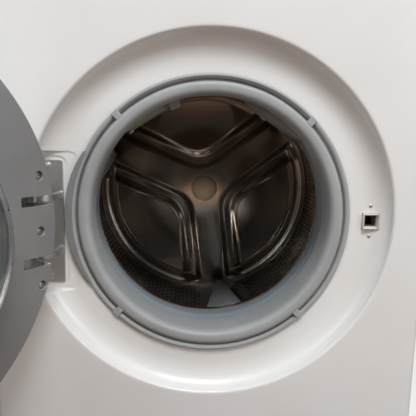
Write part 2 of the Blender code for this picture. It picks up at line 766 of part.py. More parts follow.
def hinge_plate():
    right = HINGE_X + EAR_RADIUS + EAR_WIDTH / 2
    left = right - 0.040
    low, high = HINGE_RISE - HINGE_PLATE_HEIGHT / 2, HINGE_RISE + HINGE_PLATE_HEIGHT / 2
    back = POCKET_FLOOR - FIT
    front = back - HINGE_PLATE
    outline = rounded_rectangle(left, low, right, high, 0.003, count=2)
    plate = slab("hinge_plate", [outline], HINGE_PLATE, port_point(0.0, back - HINGE_PLATE / 2, 0.0))
    for number, rise in enumerate(ear_rises(), start=1):
        add(plate, ear(f"ear_{number}", rise, back - HINGE_PLATE / 2))
    for side in (-1, 1):
        rivet = port_point((left + right) / 2, front, HINGE_RISE + side * RIVET_PITCH / 2)
        add(plate, rod("rivet", rivet + Vector((0.0, HINGE_PLATE / 2, 0.0)), rivet - Vector((0.0, 0.002, 0.0)),
                       0.0055, segments=12, end_radius=0.0035))
    for rise in ear_rises():
        reach = Vector((0.0, 0.0, EAR_THICKNESS))
        pin = port_point(HINGE_X, HINGE_DEPTH, rise)
        cut(plate, rod("pin_bore", pin - reach, pin + reach, PIN_RADIUS + RUNNING, segments=16))
    return [paint(plate, "zinc_steel")]


def hinge_slots():
    """Slots in the door for the two ears, open to its back and to its hinge side."""
    slots = []
    for rise in ear_rises():
        half = EAR_SLOT / 2
        slots.append(block("ear_slot", port_point(HINGE_X - 0.03, HINGE_DEPTH - 0.0115, rise - half),
                           port_point(HINGE_X + 0.038, DOOR_BACK + 0.01, rise + half)))
    return slots


def door_outer_ring():
    wall = PLASTIC
    front = DOOR_FRONT
    outline = [(WINDOW_RADIUS, front + 0.0065), (0.205, front)]
    outline += arc((DOOR_RADIUS - 0.020, front + 0.018), (0.020, 0.018), -90, 0, 4)
    outline += [(DOOR_RADIUS, DOOR_BACK - wall - FIT), (DOOR_RADIUS - wall, DOOR_BACK - wall - FIT)]
    outline += arc((DOOR_RADIUS - 0.020, front + 0.018), (0.020 - wall, 0.018 - wall), 0, -90, 4)
    outline += [(0.205, front + wall), (WINDOW_RADIUS, front + 0.0065 + wall)]
    ring = turned("door_outer_ring", outline, port_point(0.0, 0.0, 0.0))
    for slot in hinge_slots():
        cut(ring, slot)
    for rise in cover_screw_rises():
        place = port_point(-COVER_SCREW_OFFSET, DOOR_BACK, rise)
        cut(ring, rod("boss_relief", place, place - Vector((0.0, 0.0125, 0.0)),
                      COVER_RECESS_RADIUS + 0.0012 + 2 * FIT, segments=16))
    half = GRIP_HEIGHT / 2
    cut(ring, block("grip_opening", port_point(DOOR_RADIUS - 0.03, front + 0.010, -half),
                    port_point(DOOR_RADIUS + 0.01, front + 0.034, half)))
    return paint(ring, "white_plastic")


def cover_screw_rises():
    return [HINGE_RISE + COVER_SCREW_PITCH * step for step in (1, 0, -1)]


def door_inner_frame():
    back = DOOR_BACK
    inside = back - PLASTIC
    collar = GLASS_FLANGE_RADIUS + FIT
    outline = [(DOOR_RADIUS, inside), (DOOR_RADIUS, back - 0.001), (DOOR_RADIUS - 0.001, back),
               (FRAME_INNER_RADIUS, back), (collar, back - 0.004), (collar, back - 0.014),
               (collar + PLASTIC, back - 0.014), (collar + PLASTIC, inside)]
    frame = turned("door_inner_frame", outline, port_point(0.0, 0.0, 0.0))
    upper, lower = ear_rises()
    reach = EAR_SLOT / 2
    add(frame, block("pin_carrier", port_point(HINGE_X - 0.0038, HINGE_DEPTH - 0.005, lower + reach + 0.012),
                     port_point(HINGE_X + 0.010, back - PLASTIC / 2, upper - reach)))
    cut(frame, rod("carrier_bore", port_point(HINGE_X, HINGE_DEPTH, lower),
                   port_point(HINGE_X, HINGE_DEPTH, upper), PIN_RADIUS + FIT, segments=16))
    for slot in hinge_slots():
        cut(frame, slot)
    for rise in cover_screw_rises():
        place = port_point(-COVER_SCREW_OFFSET, back, rise)
        add(frame, rod("screw_boss", place - Vector((0.0, PLASTIC / 2, 0.0)), place - Vector((0.0, 0.012, 0.0)),
                       COVER_RECESS_RADIUS + 0.0012, segments=16))
    for rise in cover_screw_rises():
        place = port_point(-COVER_SCREW_OFFSET, back, rise)
        cut(frame, rod("screw_recess", place + Vector((0.0, 0.01, 0.0)), place - Vector((0.0, 0.006, 0.0)),
                       COVER_RECESS_RADIUS, segments=16))
    latch = port_point(LATCH_X, 0.0, LATCH_RISE)
    for side in (-1, 1):
        cheek = latch + Vector((0.0, 0.0, side * 0.0085))
        add(frame, block("latch_cheek", cheek - Vector((0.008, 0.006, 0.0015)),
                         cheek + Vector((0.006, inside + PLASTIC / 2, 0.0015))))
    cut(frame, block("latch_slot", latch - Vector((0.009, 0.0, 0.007)), latch + Vector((0.008, 0.02, 0.007))))
    cut(frame, rod("latch_bore", latch - Vector((0.001, 0.0, 0.0091)), latch + Vector((-0.001, 0.0, 0.0091)),
                   PIN_RADIUS + RUNNING, segments=16))
    return paint(frame, "grey_plastic")


def cover_screws():
    pieces = []
    for number, rise in enumerate(cover_screw_rises(), start=1):
        seat = port_point(-COVER_SCREW_OFFSET, DOOR_BACK - 0.006 + FIT, rise)
        screw = rod(f"cover_screw_{number}", seat, seat + Vector((0.0, 0.0032, 0.0)), 0.0046, segments=16,
                    end_radius=0.0038)
        cut(screw, rod("screw_drive", seat + Vector((0.0, 0.0015, 0.0)), seat + Vector((0.0, 0.01, 0.0)), 0.0019,
                       segments=6))
        pieces.append(paint(screw, "zinc_steel"))
    return pieces


def door_glass():
    """The moulded bowl that pushes the washing back into the drum."""
    wall = GLASS_WALL
    flange = DOOR_BACK - 0.014
    outline = [(GLASS_FLANGE_RADIUS, flange), (GLASS_FLANGE_RADIUS, flange + wall), (0.1665, flange + 0.008),
               (0.1630, 0.030), (0.1500, 0.060), (0.1340, 0.085), (0.1080, 0.100), (0.0600, 0.107), (0.0, 0.108),
               (0.0, 0.108 - wall), (0.0600, 0.107 - wall), (0.1060, 0.0965), (0.1305, 0.0825), (0.1462, 0.0585),
               (0.1590, 0.029), (0.1620, flange)]
    levels = [(radius, depth) for radius, depth in outline]
    glass = turned("door_glass", levels[9:] + levels[:9], port_point(0.0, 0.0, 0.0), on_axis=True)
    return paint(glass, "clear_glass")


def door_window():
    front = DOOR_FRONT
    edge = WINDOW_RADIUS - FIT
    outline = [(0.0, front - 0.001), (0.08, front + 0.0005), (0.13, front + 0.0030), (edge, front + 0.0068),
               (edge, front + 0.0098), (0.13, front + 0.0060), (0.08, front + 0.0035), (0.0, front + 0.002)]
    return paint(turned("door_window", outline, port_point(0.0, 0.0, 0.0), on_axis=True), "dark_plastic")


def hinge_pin():
    upper, lower = ear_rises()
    reach = EAR_THICKNESS / 2
    pin = rod("hinge_pin", port_point(HINGE_X, HINGE_DEPTH, lower - reach),
              port_point(HINGE_X, HINGE_DEPTH, upper + reach), PIN_RADIUS, segments=16)
    return paint(pin, "zinc_steel")


def latch_hook():
    """A sprung hook on a cross pin, which the lock behind the front sheet catches."""
    pivot = (LATCH_X - 0.001, 0.0)
    reach = LATCH_REACH
    outline = arc(pivot, 0.0048, 200, 340, 5)
    outline += [(LATCH_X + 0.0025, 0.006), (LATCH_X + 0.0015, reach - 0.009), (LATCH_X + 0.0045, reach - 0.009),
                (LATCH_X + 0.0010, reach), (LATCH_X - 0.0030, reach), (LATCH_X - 0.0040, 0.006)]
    hook = slab("latch_hook", [outline], 0.008, port_point(0.0, 0.0, LATCH_RISE), facing_front=False)
    middle = port_point(pivot[0], pivot[1], LATCH_RISE)
    half = Vector((0.0, 0.0, 0.0088))
    add(hook, rod("latch_trunnion", middle - half, middle + half, PIN_RADIUS, segments=16))
    return paint(hook, "zinc_steel"), middle


def door():
    hinge = port_point(HINGE_X, HINGE_DEPTH, 0.0)
    swing = joint_empty("door_axis", hinge)
    pieces = [door_outer_ring(), door_inner_frame(), door_glass(), door_window(), hinge_pin()] + cover_screws()
    hang(pieces, swing, hinge)
    hook, pivot = latch_hook()
    tilt = joint_empty("latch_axis", pivot, parent=swing)
    hang([hook], tilt, pivot)
    swing.rotation_euler.z = math.radians(-DOOR_OPEN_ANGLE)
    return pieces + [hook]


# Door lock

def lock_screw_rises():
    return [LATCH_RISE + side * LOCK_SCREW_PITCH / 2 for side in (1, -1)]


def door_lock():
    half = LATCH_HOLE / 2 - FIT
    back = DISH_DEPTH + DISH_SHEET + FIT
    lock = block("door_lock", port_point(LATCH_X - 0.018, back, LATCH_RISE - 0.040),
                 port_point(LATCH_X + 0.018, back + 0.032, LATCH_RISE + 0.040))
    add(lock, block("lock_bezel", port_point(LATCH_X - half, LATCH_FRONT, LATCH_RISE - half),
                    port_point(LATCH_X + half, back + 0.001, LATCH_RISE + half)))
    mouth = LATCH_HOLE - 0.004
    slot_height = 0.012
    throat = LATCH_FRONT + 0.014
    cut(lock, tapered_block("lock_mouth", (port_point(LATCH_X, LATCH_FRONT - 0.001, LATCH_RISE), mouth, mouth),
                            (port_point(LATCH_X, throat, LATCH_RISE), LATCH_THROAT, slot_height)))
    cut(lock, block("lock_throat", port_point(LATCH_X - LATCH_THROAT / 2, throat - 0.001, LATCH_RISE - slot_height / 2),
                    port_point(LATCH_X + LATCH_THROAT / 2, LATCH_REACH + 0.008, LATCH_RISE + slot_height / 2)))
    pieces = [paint(lock, "white_plastic")]
    for number, rise in enumerate(lock_screw_rises(), start=1):
        seat = LATCH_FRONT + 0.001
        head = rod(f"lock_screw_{number}", port_point(LATCH_X, seat, rise), port_point(LATCH_X, seat - 0.0018, rise),
                   LOCK_SCREW_RADIUS, segments=12, end_radius=LOCK_SCREW_RADIUS * 0.8)
        add(head, rod("lock_screw_shank", port_point(LATCH_X, seat - 0.001, rise),
                      port_point(LATCH_X, back - FIT, rise), LOCK_SCREW_RADIUS * 0.6, segments=10))
        pieces.append(paint(head, "zinc_steel"))
    return pieces


# Gasket and tub

def gasket():
    """The rubber bellows from the front sheet to the tub's neck."""
    lip = GASKET_LIP_RADIUS
    edge = GASKET_RADIUS
    wall = 0.0022
    cuff = TUB_NECK_RADIUS - TUB_WALL - FIT * 2
    seen = [(edge, 0.0245), (edge, 0.0222), (edge - 0.003, 0.0203), (edge - 0.0065, 0.0225),
            (edge - 0.0075, 0.0258), (edge - 0.0100, 0.0258), (edge - 0.0115, 0.0205), (0.1800, 0.0168),
            (lip + 0.003, 0.0200), (lip, 0.0270), (0.1730, 0.0880), (0.1805, 0.1000),
            (0.1720, 0.1130), (GASKET_MOUTH_RADIUS, 0.1220), (GASKET_MOUTH_RADIUS, GASKET_BACK)]
    hidden = [(cuff, GASKET_BACK), (cuff, 0.1250), (0.1770, 0.1140), (0.1855, 0.1000),
              (0.1765, 0.0860), (lip + 0.0045, 0.0300), (0.1800, 0.0225),
              (edge - 0.0130, 0.0290), (edge - 0.0050, 0.0290), (edge - 0.0045, 0.0245)]
    piece = turned("gasket", seen + hidden, port_point(0.0, 0.0, 0.0))
    return paint(piece, "grey_rubber"), edge - 0.00875, 0.0258 - wall / 2


def gasket_and_clamp():
    rubber, radius, depth = gasket()
    tube = 0.0010
    clamp = turned("gasket_clamp", arc((radius, depth), tube, 0, 300, 5), port_point(0.0, 0.0, 0.0))
    return [rubber, paint(clamp, "zinc_steel")]


def tub_half(name, line):
    return shell(name, line, TUB_WALL, False, port_point(0.0, 0.0, 0.0))


def tub_front():
    rim = TUB_RADIUS + TUB_FLANGE
    line = [(TUB_NECK_RADIUS, 0.1255), (TUB_NECK_RADIUS, TUB_FRONT), (TUB_RADIUS - 0.015, TUB_FRONT + 0.003),
            (TUB_RADIUS, TUB_FRONT + 0.018), (TUB_RADIUS, TUB_SPLIT - 0.008), (rim, TUB_SPLIT - 0.008),
            (rim, TUB_SPLIT - FIT)]
    return paint(tub_half("tub_front", line), "tub_plastic")


def tub_lug(name, low, high):
    """A block moulded onto the outside of the tub."""
    lug = block(name, low, high)
    inner = TUB_RADIUS - TUB_WALL / 2
    return cut(lug, rod(name + "_seat", port_point(0.0, 0.2, 0.0), port_point(0.0, 0.5, 0.0), inner, segments=ROUND))


def motor_reach():
    """The motor's direction and distance from the drum's axis."""
    drop = MOTOR_HEIGHT - PORT_HEIGHT
    return math.atan2(drop, MOTOR_X), math.hypot(drop, MOTOR_X)


def motor_bracket():
    angle, distance = motor_reach()
    outline = [(TUB_RADIUS - 0.02, -0.045), (distance, -0.062), (distance, 0.062), (TUB_RADIUS - 0.02, 0.045)]
    turned_outline = [(x * math.cos(angle) - y * math.sin(angle), x * math.sin(angle) + y * math.cos(angle))
                      for x, y in outline]
    plate = slab("motor_bracket", [turned_outline], 0.012, port_point(0.0, 0.446, 0.0))
    inner = TUB_RADIUS - TUB_WALL / 2
    cut(plate, rod("bracket_seat", port_point(0.0, 0.43, 0.0), port_point(0.0, 0.46, 0.0), inner, segments=ROUND))
    return cut(plate, rod("motor_seat", floor_point(MOTOR_X, 0.43, MOTOR_HEIGHT),
                          floor_point(MOTOR_X, 0.46, MOTOR_HEIGHT), MOTOR_RADIUS + FIT * 2, segments=28))


def hub_outline():
    seat = BEARING_RADIUS + FIT
    hub = seat + HUB_WALL
    return [(seat, TUB_BACK - 0.010), (hub, TUB_BACK - 0.010), (hub, TUB_BACK + 0.026), (seat, TUB_BACK + 0.026)]


def tub_rear():
    rim = TUB_RADIUS + TUB_FLANGE
    seat = BEARING_RADIUS + FIT
    line = [(rim, TUB_SPLIT + FIT), (rim, TUB_SPLIT + 0.008), (TUB_RADIUS, TUB_SPLIT + 0.008),
            (TUB_RADIUS, TUB_BACK - 0.018), (TUB_RADIUS - 0.012, TUB_BACK - 0.005), (seat + HUB_WALL / 2, TUB_BACK)]
    tub = tub_half("tub_rear", line)
    add(tub, turned("bearing_hub", hub_outline(), port_point(0.0, 0.0, 0.0)))
    add(tub, motor_bracket())
    for side in (-1, 1):
        x = side * SPRING_X
        top = CROSSBAR_HEIGHT - SPRING_LENGTH - FIT
        add(tub, tub_lug("spring_lug", floor_point(x - 0.008, SPRING_DEPTH - 0.008, PORT_HEIGHT + 0.12),
                         floor_point(x + 0.008, SPRING_DEPTH + 0.008, top - FIT)))
        x = side * DAMPER_X
        add(tub, tub_lug("damper_lug", floor_point(x - 0.012, SPRING_DEPTH - 0.010, ROD_TOP + FIT),
                         floor_point(x + 0.012, SPRING_DEPTH + 0.010, PORT_HEIGHT - 0.15)))
    return paint(tub, "tub_plastic")


def front_counterweight():
    """A cast ring with a gap at the top, bolted round the tub's neck."""
    inner, outer = TUB_NECK_RADIUS + 0.006, TUB_RADIUS - 0.010
    outline = arc((0.0, 0.0), outer, 110, 430, 36) + arc((0.0, 0.0), inner, 430, 110, 36)
    thickness = 0.026
    middle = TUB_FRONT - FIT - 0.002 - thickness / 2
    return paint(slab("front_counterweight", [outline], thickness, port_point(0.0, middle, 0.0)), "cast_weight")


def top_counterweight():
    top = PORT_HEIGHT + TUB_RADIUS + 0.050
    weight = block("top_counterweight", floor_point(-0.115, 0.185, PORT_HEIGHT + 0.18), floor_point(0.115, 0.290, top))
    cut(weight, rod("weight_seat", port_point(0.0, 0.15, 0.0), port_point(0.0, 0.50, 0.0), TUB_RADIUS + 0.002,
                    segments=ROUND))
    return paint(weight, "cast_weight")


# Drum

def drum_shell():
    line = [(DRUM_MOUTH_RADIUS, DRUM_FRONT + 0.010), (DRUM_MOUTH_RADIUS + 0.0005, DRUM_FRONT + 0.002),
            (DRUM_MOUTH_RADIUS + 0.004, DRUM_FRONT), (DRUM_RADIUS - 0.016, DRUM_FRONT + 0.004),
            (DRUM_RADIUS, DRUM_FRONT + 0.016), (DRUM_RADIUS, DRUM_BACK)]
    return paint(shell("drum_shell", line, DRUM_SHEET, False, port_point(0.0, 0.0, 0.0)), "drum_steel")


def drum_back():
    edge = DRUM_RADIUS - DRUM_SHEET - FIT
    line = [(edge, DRUM_BACK), (0.190, DRUM_BACK), (0.070, DRUM_BACK - DRUM_CROWN * 0.4),
            (0.040, DRUM_BACK - DRUM_CROWN), (0.0, DRUM_BACK - DRUM_CROWN)]
    outline = line[::-1] + [(radius, depth - 0.0015) for radius, depth in line]
    return paint(turned("drum_back", outline, port_point(0.0, 0.0, 0.0), on_axis=True), "drum_steel")


def lifter(number, degrees):
    """A tall hollow rib in the drum, wide at the front and drawn to a point at the back."""
    base = DRUM_RADIUS - DRUM_SHEET - 0.0012
    name = f"lifter_{number}"
    mesh = bpy.data.meshes.new(name)
    shape = bmesh.new()
    bmesh.ops.create_cube(shape, size=2.0)
    for vert in shape.verts:
        behind = vert.co.y > 0
        if vert.co.z < 0:
            half = 0.018 if behind else 0.044
            level = math.sqrt(base ** 2 - half ** 2)
        else:
            half = 0.006 if behind else 0.032
            level = LIFTER_TOP_RADIUS + (0.022 if behind else 0.0)
        depth = LIFTER_BACK if behind else LIFTER_FRONT
        if vert.co.z < 0 and not behind:
            depth = DRUM_FRONT + 0.018
        vert.co = Vector((vert.co.x * half, depth, -level))
    shape.to_mesh(mesh)
    shape.free()
    turn = Matrix.Rotation(-math.radians(degrees + 90.0), 4, "Y")
    piece = new_piece(name, mesh, Matrix.Translation(port_point(0.0, 0.0, 0.0)) @ turn)
    return paint(piece, "grey_plastic")


def drum_spider():
    centre = port_point(0.0, 0.0, 0.0)
    front = DRUM_BACK + 0.0015
    spider = rod("drum_spider", port_point(0.0, front, 0.0), port_point(0.0, front + 0.013, 0.0), 0.034, segments=28)
    for degrees in SPOKE_ANGLES:
        arm = block("spider_arm", (0.0, FRONT + front, -0.017), (0.218, FRONT + front + 0.010, 0.017))
        turn = Matrix.Rotation(-math.radians(degrees), 4, "Y")
        arm.matrix_basis = Matrix.Translation((centre.x, 0.0, centre.z)) @ turn @ arm.matrix_basis
        add(spider, arm)
    end = PULLEY_DEPTH + PULLEY_WIDTH + 0.008
    add(spider, rod("drum_shaft", port_point(0.0, front + 0.010, 0.0), port_point(0.0, end, 0.0), SHAFT_RADIUS,
                    segments=24))
    return paint(spider, "cast_aluminium")


def drum_bearing():
    """The double-row bearing in the tub's hub."""
    bore, depth = SHAFT_RADIUS + FIT, TUB_BACK - 0.008
    outline = [(bore, depth), (BEARING_RADIUS, depth), (BEARING_RADIUS, depth + BEARING_WIDTH),
               (bore, depth + BEARING_WIDTH)]
    return paint(turned("drum_bearing", outline, port_point(0.0, 0.0, 0.0)), "zinc_steel")


def drum_pulley():
    front, back = PULLEY_DEPTH, PULLEY_DEPTH + PULLEY_WIDTH
    middle = (front + back) / 2
    bore = SHAFT_RADIUS + FIT
    inner = PULLEY_RADIUS - 0.006
    outline = [(bore, front), (0.026, front), (0.030, middle), (inner, middle), (inner, front),
               (PULLEY_RADIUS, front), (PULLEY_RADIUS, back), (inner, back), (inner, middle + 0.004),
               (bore, middle + 0.004)]
    return paint(turned("drum_pulley", outline, port_point(0.0, 0.0, 0.0)), "cast_aluminium")


# Drive

def motor():
    back = PULLEY_DEPTH - 0.014
    body = rod("motor", floor_point(MOTOR_X, back - MOTOR_LENGTH, MOTOR_HEIGHT), floor_point(MOTOR_X, back, MOTOR_HEIGHT),
               MOTOR_RADIUS, segments=28)
    return paint(body, "zinc_steel")


def motor_pulley():
    centre = floor_point(MOTOR_X, 0.0, MOTOR_HEIGHT)
    start, front, back = PULLEY_DEPTH - 0.014 + FIT, PULLEY_DEPTH, PULLEY_DEPTH + PULLEY_WIDTH
    radius = MOTOR_PULLEY_RADIUS
    outline = [(0.0, start), (0.005, start), (0.005, front), (radius + 0.003, front), (radius, front + 0.002),
               (radius, back - 0.002), (radius + 0.003, back), (0.0, back)]
    piece = turned("motor_pulley", outline, centre, segments=24, on_axis=True)
    hang([piece], joint_empty("motor_axis", centre), centre)
    return paint(piece, "zinc_steel")


def belt_loop(grow):
    """The belt's path round both pulleys, with straight runs between them."""
    angle, distance = motor_reach()
    big, small = PULLEY_RADIUS + grow, MOTOR_PULLEY_RADIUS + grow
    lean = math.degrees(math.acos((big - small) / distance))
    degrees = math.degrees(angle)
    loop = arc((0.0, 0.0), big, degrees + lean, degrees + 360 - lean, 40)
    middle = (distance * math.cos(angle), distance * math.sin(angle))
    return loop + arc(middle, small, degrees - lean, degrees + lean, 10)


def drive_belt():
    clear = 0.0008
    middle = PULLEY_DEPTH + PULLEY_WIDTH / 2
    loops = [belt_loop(clear + BELT_THICKNESS), belt_loop(clear)]
    return paint(slab("drive_belt", loops, BELT_WIDTH, port_point(0.0, middle, 0.0)), "black_rubber")


# Suspension

def crossbar():
    half = WIDTH / 2 - SHEET - FIT
    size = CROSSBAR_SIZE / 2
    bar = block("top_crossbar", floor_point(-half, SPRING_DEPTH - size, CROSSBAR_HEIGHT),
                floor_point(half, SPRING_DEPTH + size, CROSSBAR_HEIGHT + CROSSBAR_SIZE))
    cut(bar, block("crossbar_hollow", floor_point(-1.0, SPRING_DEPTH - size + 0.002, CROSSBAR_HEIGHT + 0.002),
                   floor_point(1.0, SPRING_DEPTH + size - 0.002, CROSSBAR_HEIGHT + 1.0)))
    return paint(bar, "zinc_steel")


def spring(name, x):
    """A close-wound tension spring with straight ends, hung between crossbar and tub."""
    top = CROSSBAR_HEIGHT - FIT
    bottom = top - SPRING_LENGTH + FIT
    tail = 0.012
    straight = 0.004
    points = [(x, FRONT + SPRING_DEPTH, top), (x, FRONT + SPRING_DEPTH, top - straight)]
    per_turn = 7
    steps = SPRING_TURNS * per_turn
    for step in range(steps + 1):
        angle = math.tau * step / per_turn
        level = top - tail - (SPRING_LENGTH - 2 * tail) * step / steps
        points.append((x + SPRING_RADIUS * math.cos(angle), FRONT + SPRING_DEPTH + SPRING_RADIUS * math.sin(angle), level))
    points += [(x, FRONT + SPRING_DEPTH, bottom + straight), (x, FRONT + SPRING_DEPTH, bottom)]
    return paint(wire(name, points, SPRING_WIRE), "zinc_steel")


def damper(side, name):
    x = side * DAMPER_X
    floor = FOOT_HEIGHT + SHEET + FIT
    bore = ROD_RADIUS + 0.0008
    base = FRONT + SPRING_DEPTH
    outline = [(0.0, floor), (DAMPER_RADIUS, floor), (DAMPER_RADIUS, DAMPER_TOP), (bore, DAMPER_TOP),
               (bore, ROD_BOTTOM - 2 * BOUNCE), (0.0, ROD_BOTTOM - 2 * BOUNCE)]
    cylinder = turned(f"damper_cylinder_{name}", outline, Vector((x, base, 0.0)), segments=SMALL_ROUND, upright=True,
                      on_axis=True)
    plunger = rod(f"damper_rod_{name}", (x, base, ROD_BOTTOM), (x, base, ROD_TOP), ROD_RADIUS, segments=SMALL_ROUND)
    return [paint(cylinder, "grey_plastic"), paint(plunger, "zinc_steel")]


# Rear connections

def inlet_valve():
    place = floor_point(CONNECTION_X, 0.0, CONNECTION_HEIGHT)
    inside = DEPTH - SHEET - FIT
    valve = block("inlet_valve", place + Vector((-0.022, inside - 0.045, -0.020)), place + Vector((0.022, inside, 0.020)))
    add(valve, rod("inlet_port", place + Vector((0.0, inside - 0.01, 0.0)), place + Vector((0.0, DEPTH + 0.014, 0.0)),
                   INLET_RADIUS))
    cut(valve, rod("inlet_bore", place + Vector((0.0, DEPTH, 0.0)), place + Vector((0.0, DEPTH + 0.03, 0.0)),
                   INLET_RADIUS - 0.003))
    return paint(valve, "white_plastic")


def mains_inlet():
    place = floor_point(-CONNECTION_X, 0.0, CONNECTION_HEIGHT)
    gland = rod("mains_inlet", place + Vector((0.0, DEPTH - 0.012, 0.0)), place + Vector((0.0, DEPTH + 0.010, 0.0)),
                GLAND_RADIUS, end_radius=GLAND_RADIUS)
    add(gland, rod("gland_collar", place + Vector((0.0, DEPTH + FIT, 0.0)), place + Vector((0.0, DEPTH + 0.004, 0.0)),
                   GLAND_RADIUS + 0.005))
    cut(gland, rod("gland_bore", place + Vector((0.0, DEPTH - 0.004, 0.0)), place + Vector((0.0, DEPTH + 0.02, 0.0)),
                   0.004, segments=12))
    return paint(gland, "black_rubber")


# The whole machine

def build_cabinet():
    base_pan()
    feet()
    cabinet_wrap()
    rear_cover()
    worktop()
    front_panel()
    plinth()
    service_flap()
    drain_filter()
    inlet_valve()
    mains_inlet()


def build_controls():
    control_panel()
    display_window()
    programme_knob()
    buttons()
    dispenser()


def build_door():
    hinge_plate()
    door_lock()
    door()


def build_tub():
    gasket_and_clamp()
    pieces = [tub_front(), tub_rear(), front_counterweight(), top_counterweight(), motor(), drive_belt()]
    crossbar()
    for side, name in ((-1, "left"), (1, "right")):
        pieces.append(spring(f"spring_{name}", side * SPRING_X))
        pieces.append(damper(side, name)[1])
    pieces.append(drum_bearing())
    origin = port_point(0.0, 0.0, 0.0)
    hang(pieces, joint_empty("tub_axis", origin), origin)
    motor_pulley()


def build_drum():
    pieces = [drum_shell(), drum_back(), drum_spider(), drum_pulley()]
    pieces += [lifter(number, degrees) for number, degrees in enumerate(LIFTER_ANGLES, start=1)]
    origin = port_point(0.0, 0.0, 0.0)
    hang(pieces, joint_empty("drum_axis", origin), origin)


build_cabinet()
build_controls()
build_door()
build_tub()
build_drum()
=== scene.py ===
"""The looks of a front loading washing machine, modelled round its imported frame.

Metres, +Z up, and the front faces -Y. Depths are counted from the front sheet into the machine, and
rises from the middle of the porthole. The door's pieces are modelled closed and then swung open.
"""
import json
import math

import bmesh
import bpy
from mathutils import Matrix, Vector


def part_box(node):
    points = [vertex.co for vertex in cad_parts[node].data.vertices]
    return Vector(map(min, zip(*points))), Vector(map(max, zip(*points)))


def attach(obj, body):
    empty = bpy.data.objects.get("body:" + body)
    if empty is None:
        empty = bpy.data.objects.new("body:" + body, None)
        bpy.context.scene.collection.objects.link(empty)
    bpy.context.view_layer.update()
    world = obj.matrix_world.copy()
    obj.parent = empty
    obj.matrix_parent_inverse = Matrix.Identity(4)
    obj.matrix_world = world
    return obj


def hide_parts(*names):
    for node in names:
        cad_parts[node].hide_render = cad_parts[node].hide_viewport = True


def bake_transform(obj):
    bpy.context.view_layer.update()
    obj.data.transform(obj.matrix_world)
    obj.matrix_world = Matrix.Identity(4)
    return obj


bl_info = {
    "name": "Front loading washing machine",
    "version": (1, 0, 0),
    "blender": (4, 5, 0),
    "location": "3D View > Sidebar > Washing machine",
    "description": "Models the pieces and finishes of a front loading washing machine round its frame",
    "category": "Add Mesh",
}

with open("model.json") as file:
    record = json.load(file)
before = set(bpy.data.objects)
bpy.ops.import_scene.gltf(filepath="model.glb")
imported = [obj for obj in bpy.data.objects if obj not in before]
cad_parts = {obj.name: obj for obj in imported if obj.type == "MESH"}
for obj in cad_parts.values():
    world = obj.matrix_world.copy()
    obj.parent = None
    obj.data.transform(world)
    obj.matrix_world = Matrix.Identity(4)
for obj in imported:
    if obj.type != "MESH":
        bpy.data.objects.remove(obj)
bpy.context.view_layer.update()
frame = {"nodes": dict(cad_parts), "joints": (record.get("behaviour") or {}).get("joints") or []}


def middle_of(node):
    low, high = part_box(node)
    return (low + high) / 2


def front_of(node):
    """The middle of a control, in the plane of the front sheet."""
    middle = middle_of(node)
    return Vector((middle.x, FRONT, middle.z))


def joint_place(name):
    found = [joint for joint in frame["joints"] if joint["name"] == name][0]
    return Vector(found["pos_m"])


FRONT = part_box("front_panel")[0].y
PANEL_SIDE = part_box("front_panel")[1].x
PORT = Vector((middle_of("gasket").x, FRONT, middle_of("gasket").z))
HINGE = joint_place("door_swing")
DOOR_OPEN = math.radians(-125.0)
LATCH_RISE = joint_place("latch_tilt").z - PORT.z
WELD = 0.000002
SPOKE_ANGLES = (37.0, 157.0, 277.0)
LIFTER_ANGLES = tuple(angle + 3.0 for angle in SPOKE_ANGLES)
LIFTER_TOP, LIFTER_FALL, LIFTER_HALF = 0.186, 0.022, 0.034
EAR_RISES = (0.02775, -0.04875)
COVER_SCREW_RISES = (0.0587, -0.0105, -0.0797)
COVER_SCREW_X = -0.220
PIN_BORE = 0.0028


# Sizes and colours that a user would change

def length(name, default, description):
    return bpy.props.FloatProperty(name=name, description=description, default=default, unit="LENGTH")


def number(name, default, least, description):
    return bpy.props.IntProperty(name=name, description=description, default=default, min=least)


def colour(name, default, description):
    return bpy.props.FloatVectorProperty(name=name, description=description, default=default, subtype="COLOR")


class WasherSizes(bpy.types.PropertyGroup):
    """Lengths and counts of the pieces that show"""
    rim_radius: length("Rim radius", 0.250, "Radius of the dished front's outer rim")
    dish_depth: length("Dish depth", 0.025, "How far the dish's flat floor lies behind the front")
    dish_floor_radius: length("Dish floor radius", 0.217, "Radius where the dish's floor starts to rise")
    port_radius: length("Porthole radius", 0.1935, "Radius of the hole in the front sheet")
    gasket_radius: length("Gasket radius", 0.197, "Radius of the gasket's outer edge")
    lip_radius: length("Lip radius", 0.168, "Radius of the gasket's front lip")
    drum_radius: length("Drum radius", 0.2387, "Outer radius of the drum")
    drum_mouth_radius: length("Drum mouth radius", 0.1845, "Radius of the drum's rolled mouth")
    trough_depth: length("Trough depth", 0.0165, "Depth of the troughs pressed into the drum's back")
    plateau_rise: length("Plateau rise", 0.0115, "How far each petal rises inside its trough")
    door_radius: length("Door radius", 0.242, "Radius of the door's outer ring")
    window_radius: length("Window radius", 0.166, "Radius of the door's dark window")
    hole_rows: number("Rows of holes", 24, 4, "Rows of holes along the drum's wall")
    holes_around: number("Holes around", 84, 12, "Holes in each row of the drum's wall")


class WasherColours(bpy.types.PropertyGroup):
    """Base colours of the finishes"""
    enamel: colour("Enamel", (0.77, 0.775, 0.77), "White of the painted steel sheets")
    plastic: colour("White plastic", (0.78, 0.78, 0.76), "White of the fascia, plinth and door ring")
    cream: colour("Cream plastic", (0.70, 0.68, 0.60), "Cream of the door lock's bezel")
    grey: colour("Grey plastic", (0.235, 0.237, 0.238), "Grey of the door's inner frame and the knob")
    rubber: colour("Gasket rubber", (0.33, 0.345, 0.35), "Grey of the gasket")
    steel: colour("Drum steel", (0.46, 0.425, 0.39), "Warm tone of the drum's polished steel")
    zinc: colour("Zinc", (0.46, 0.46, 0.45), "Tone of the zinc coated steel")


def sizes():
    return bpy.context.scene.washer_sizes


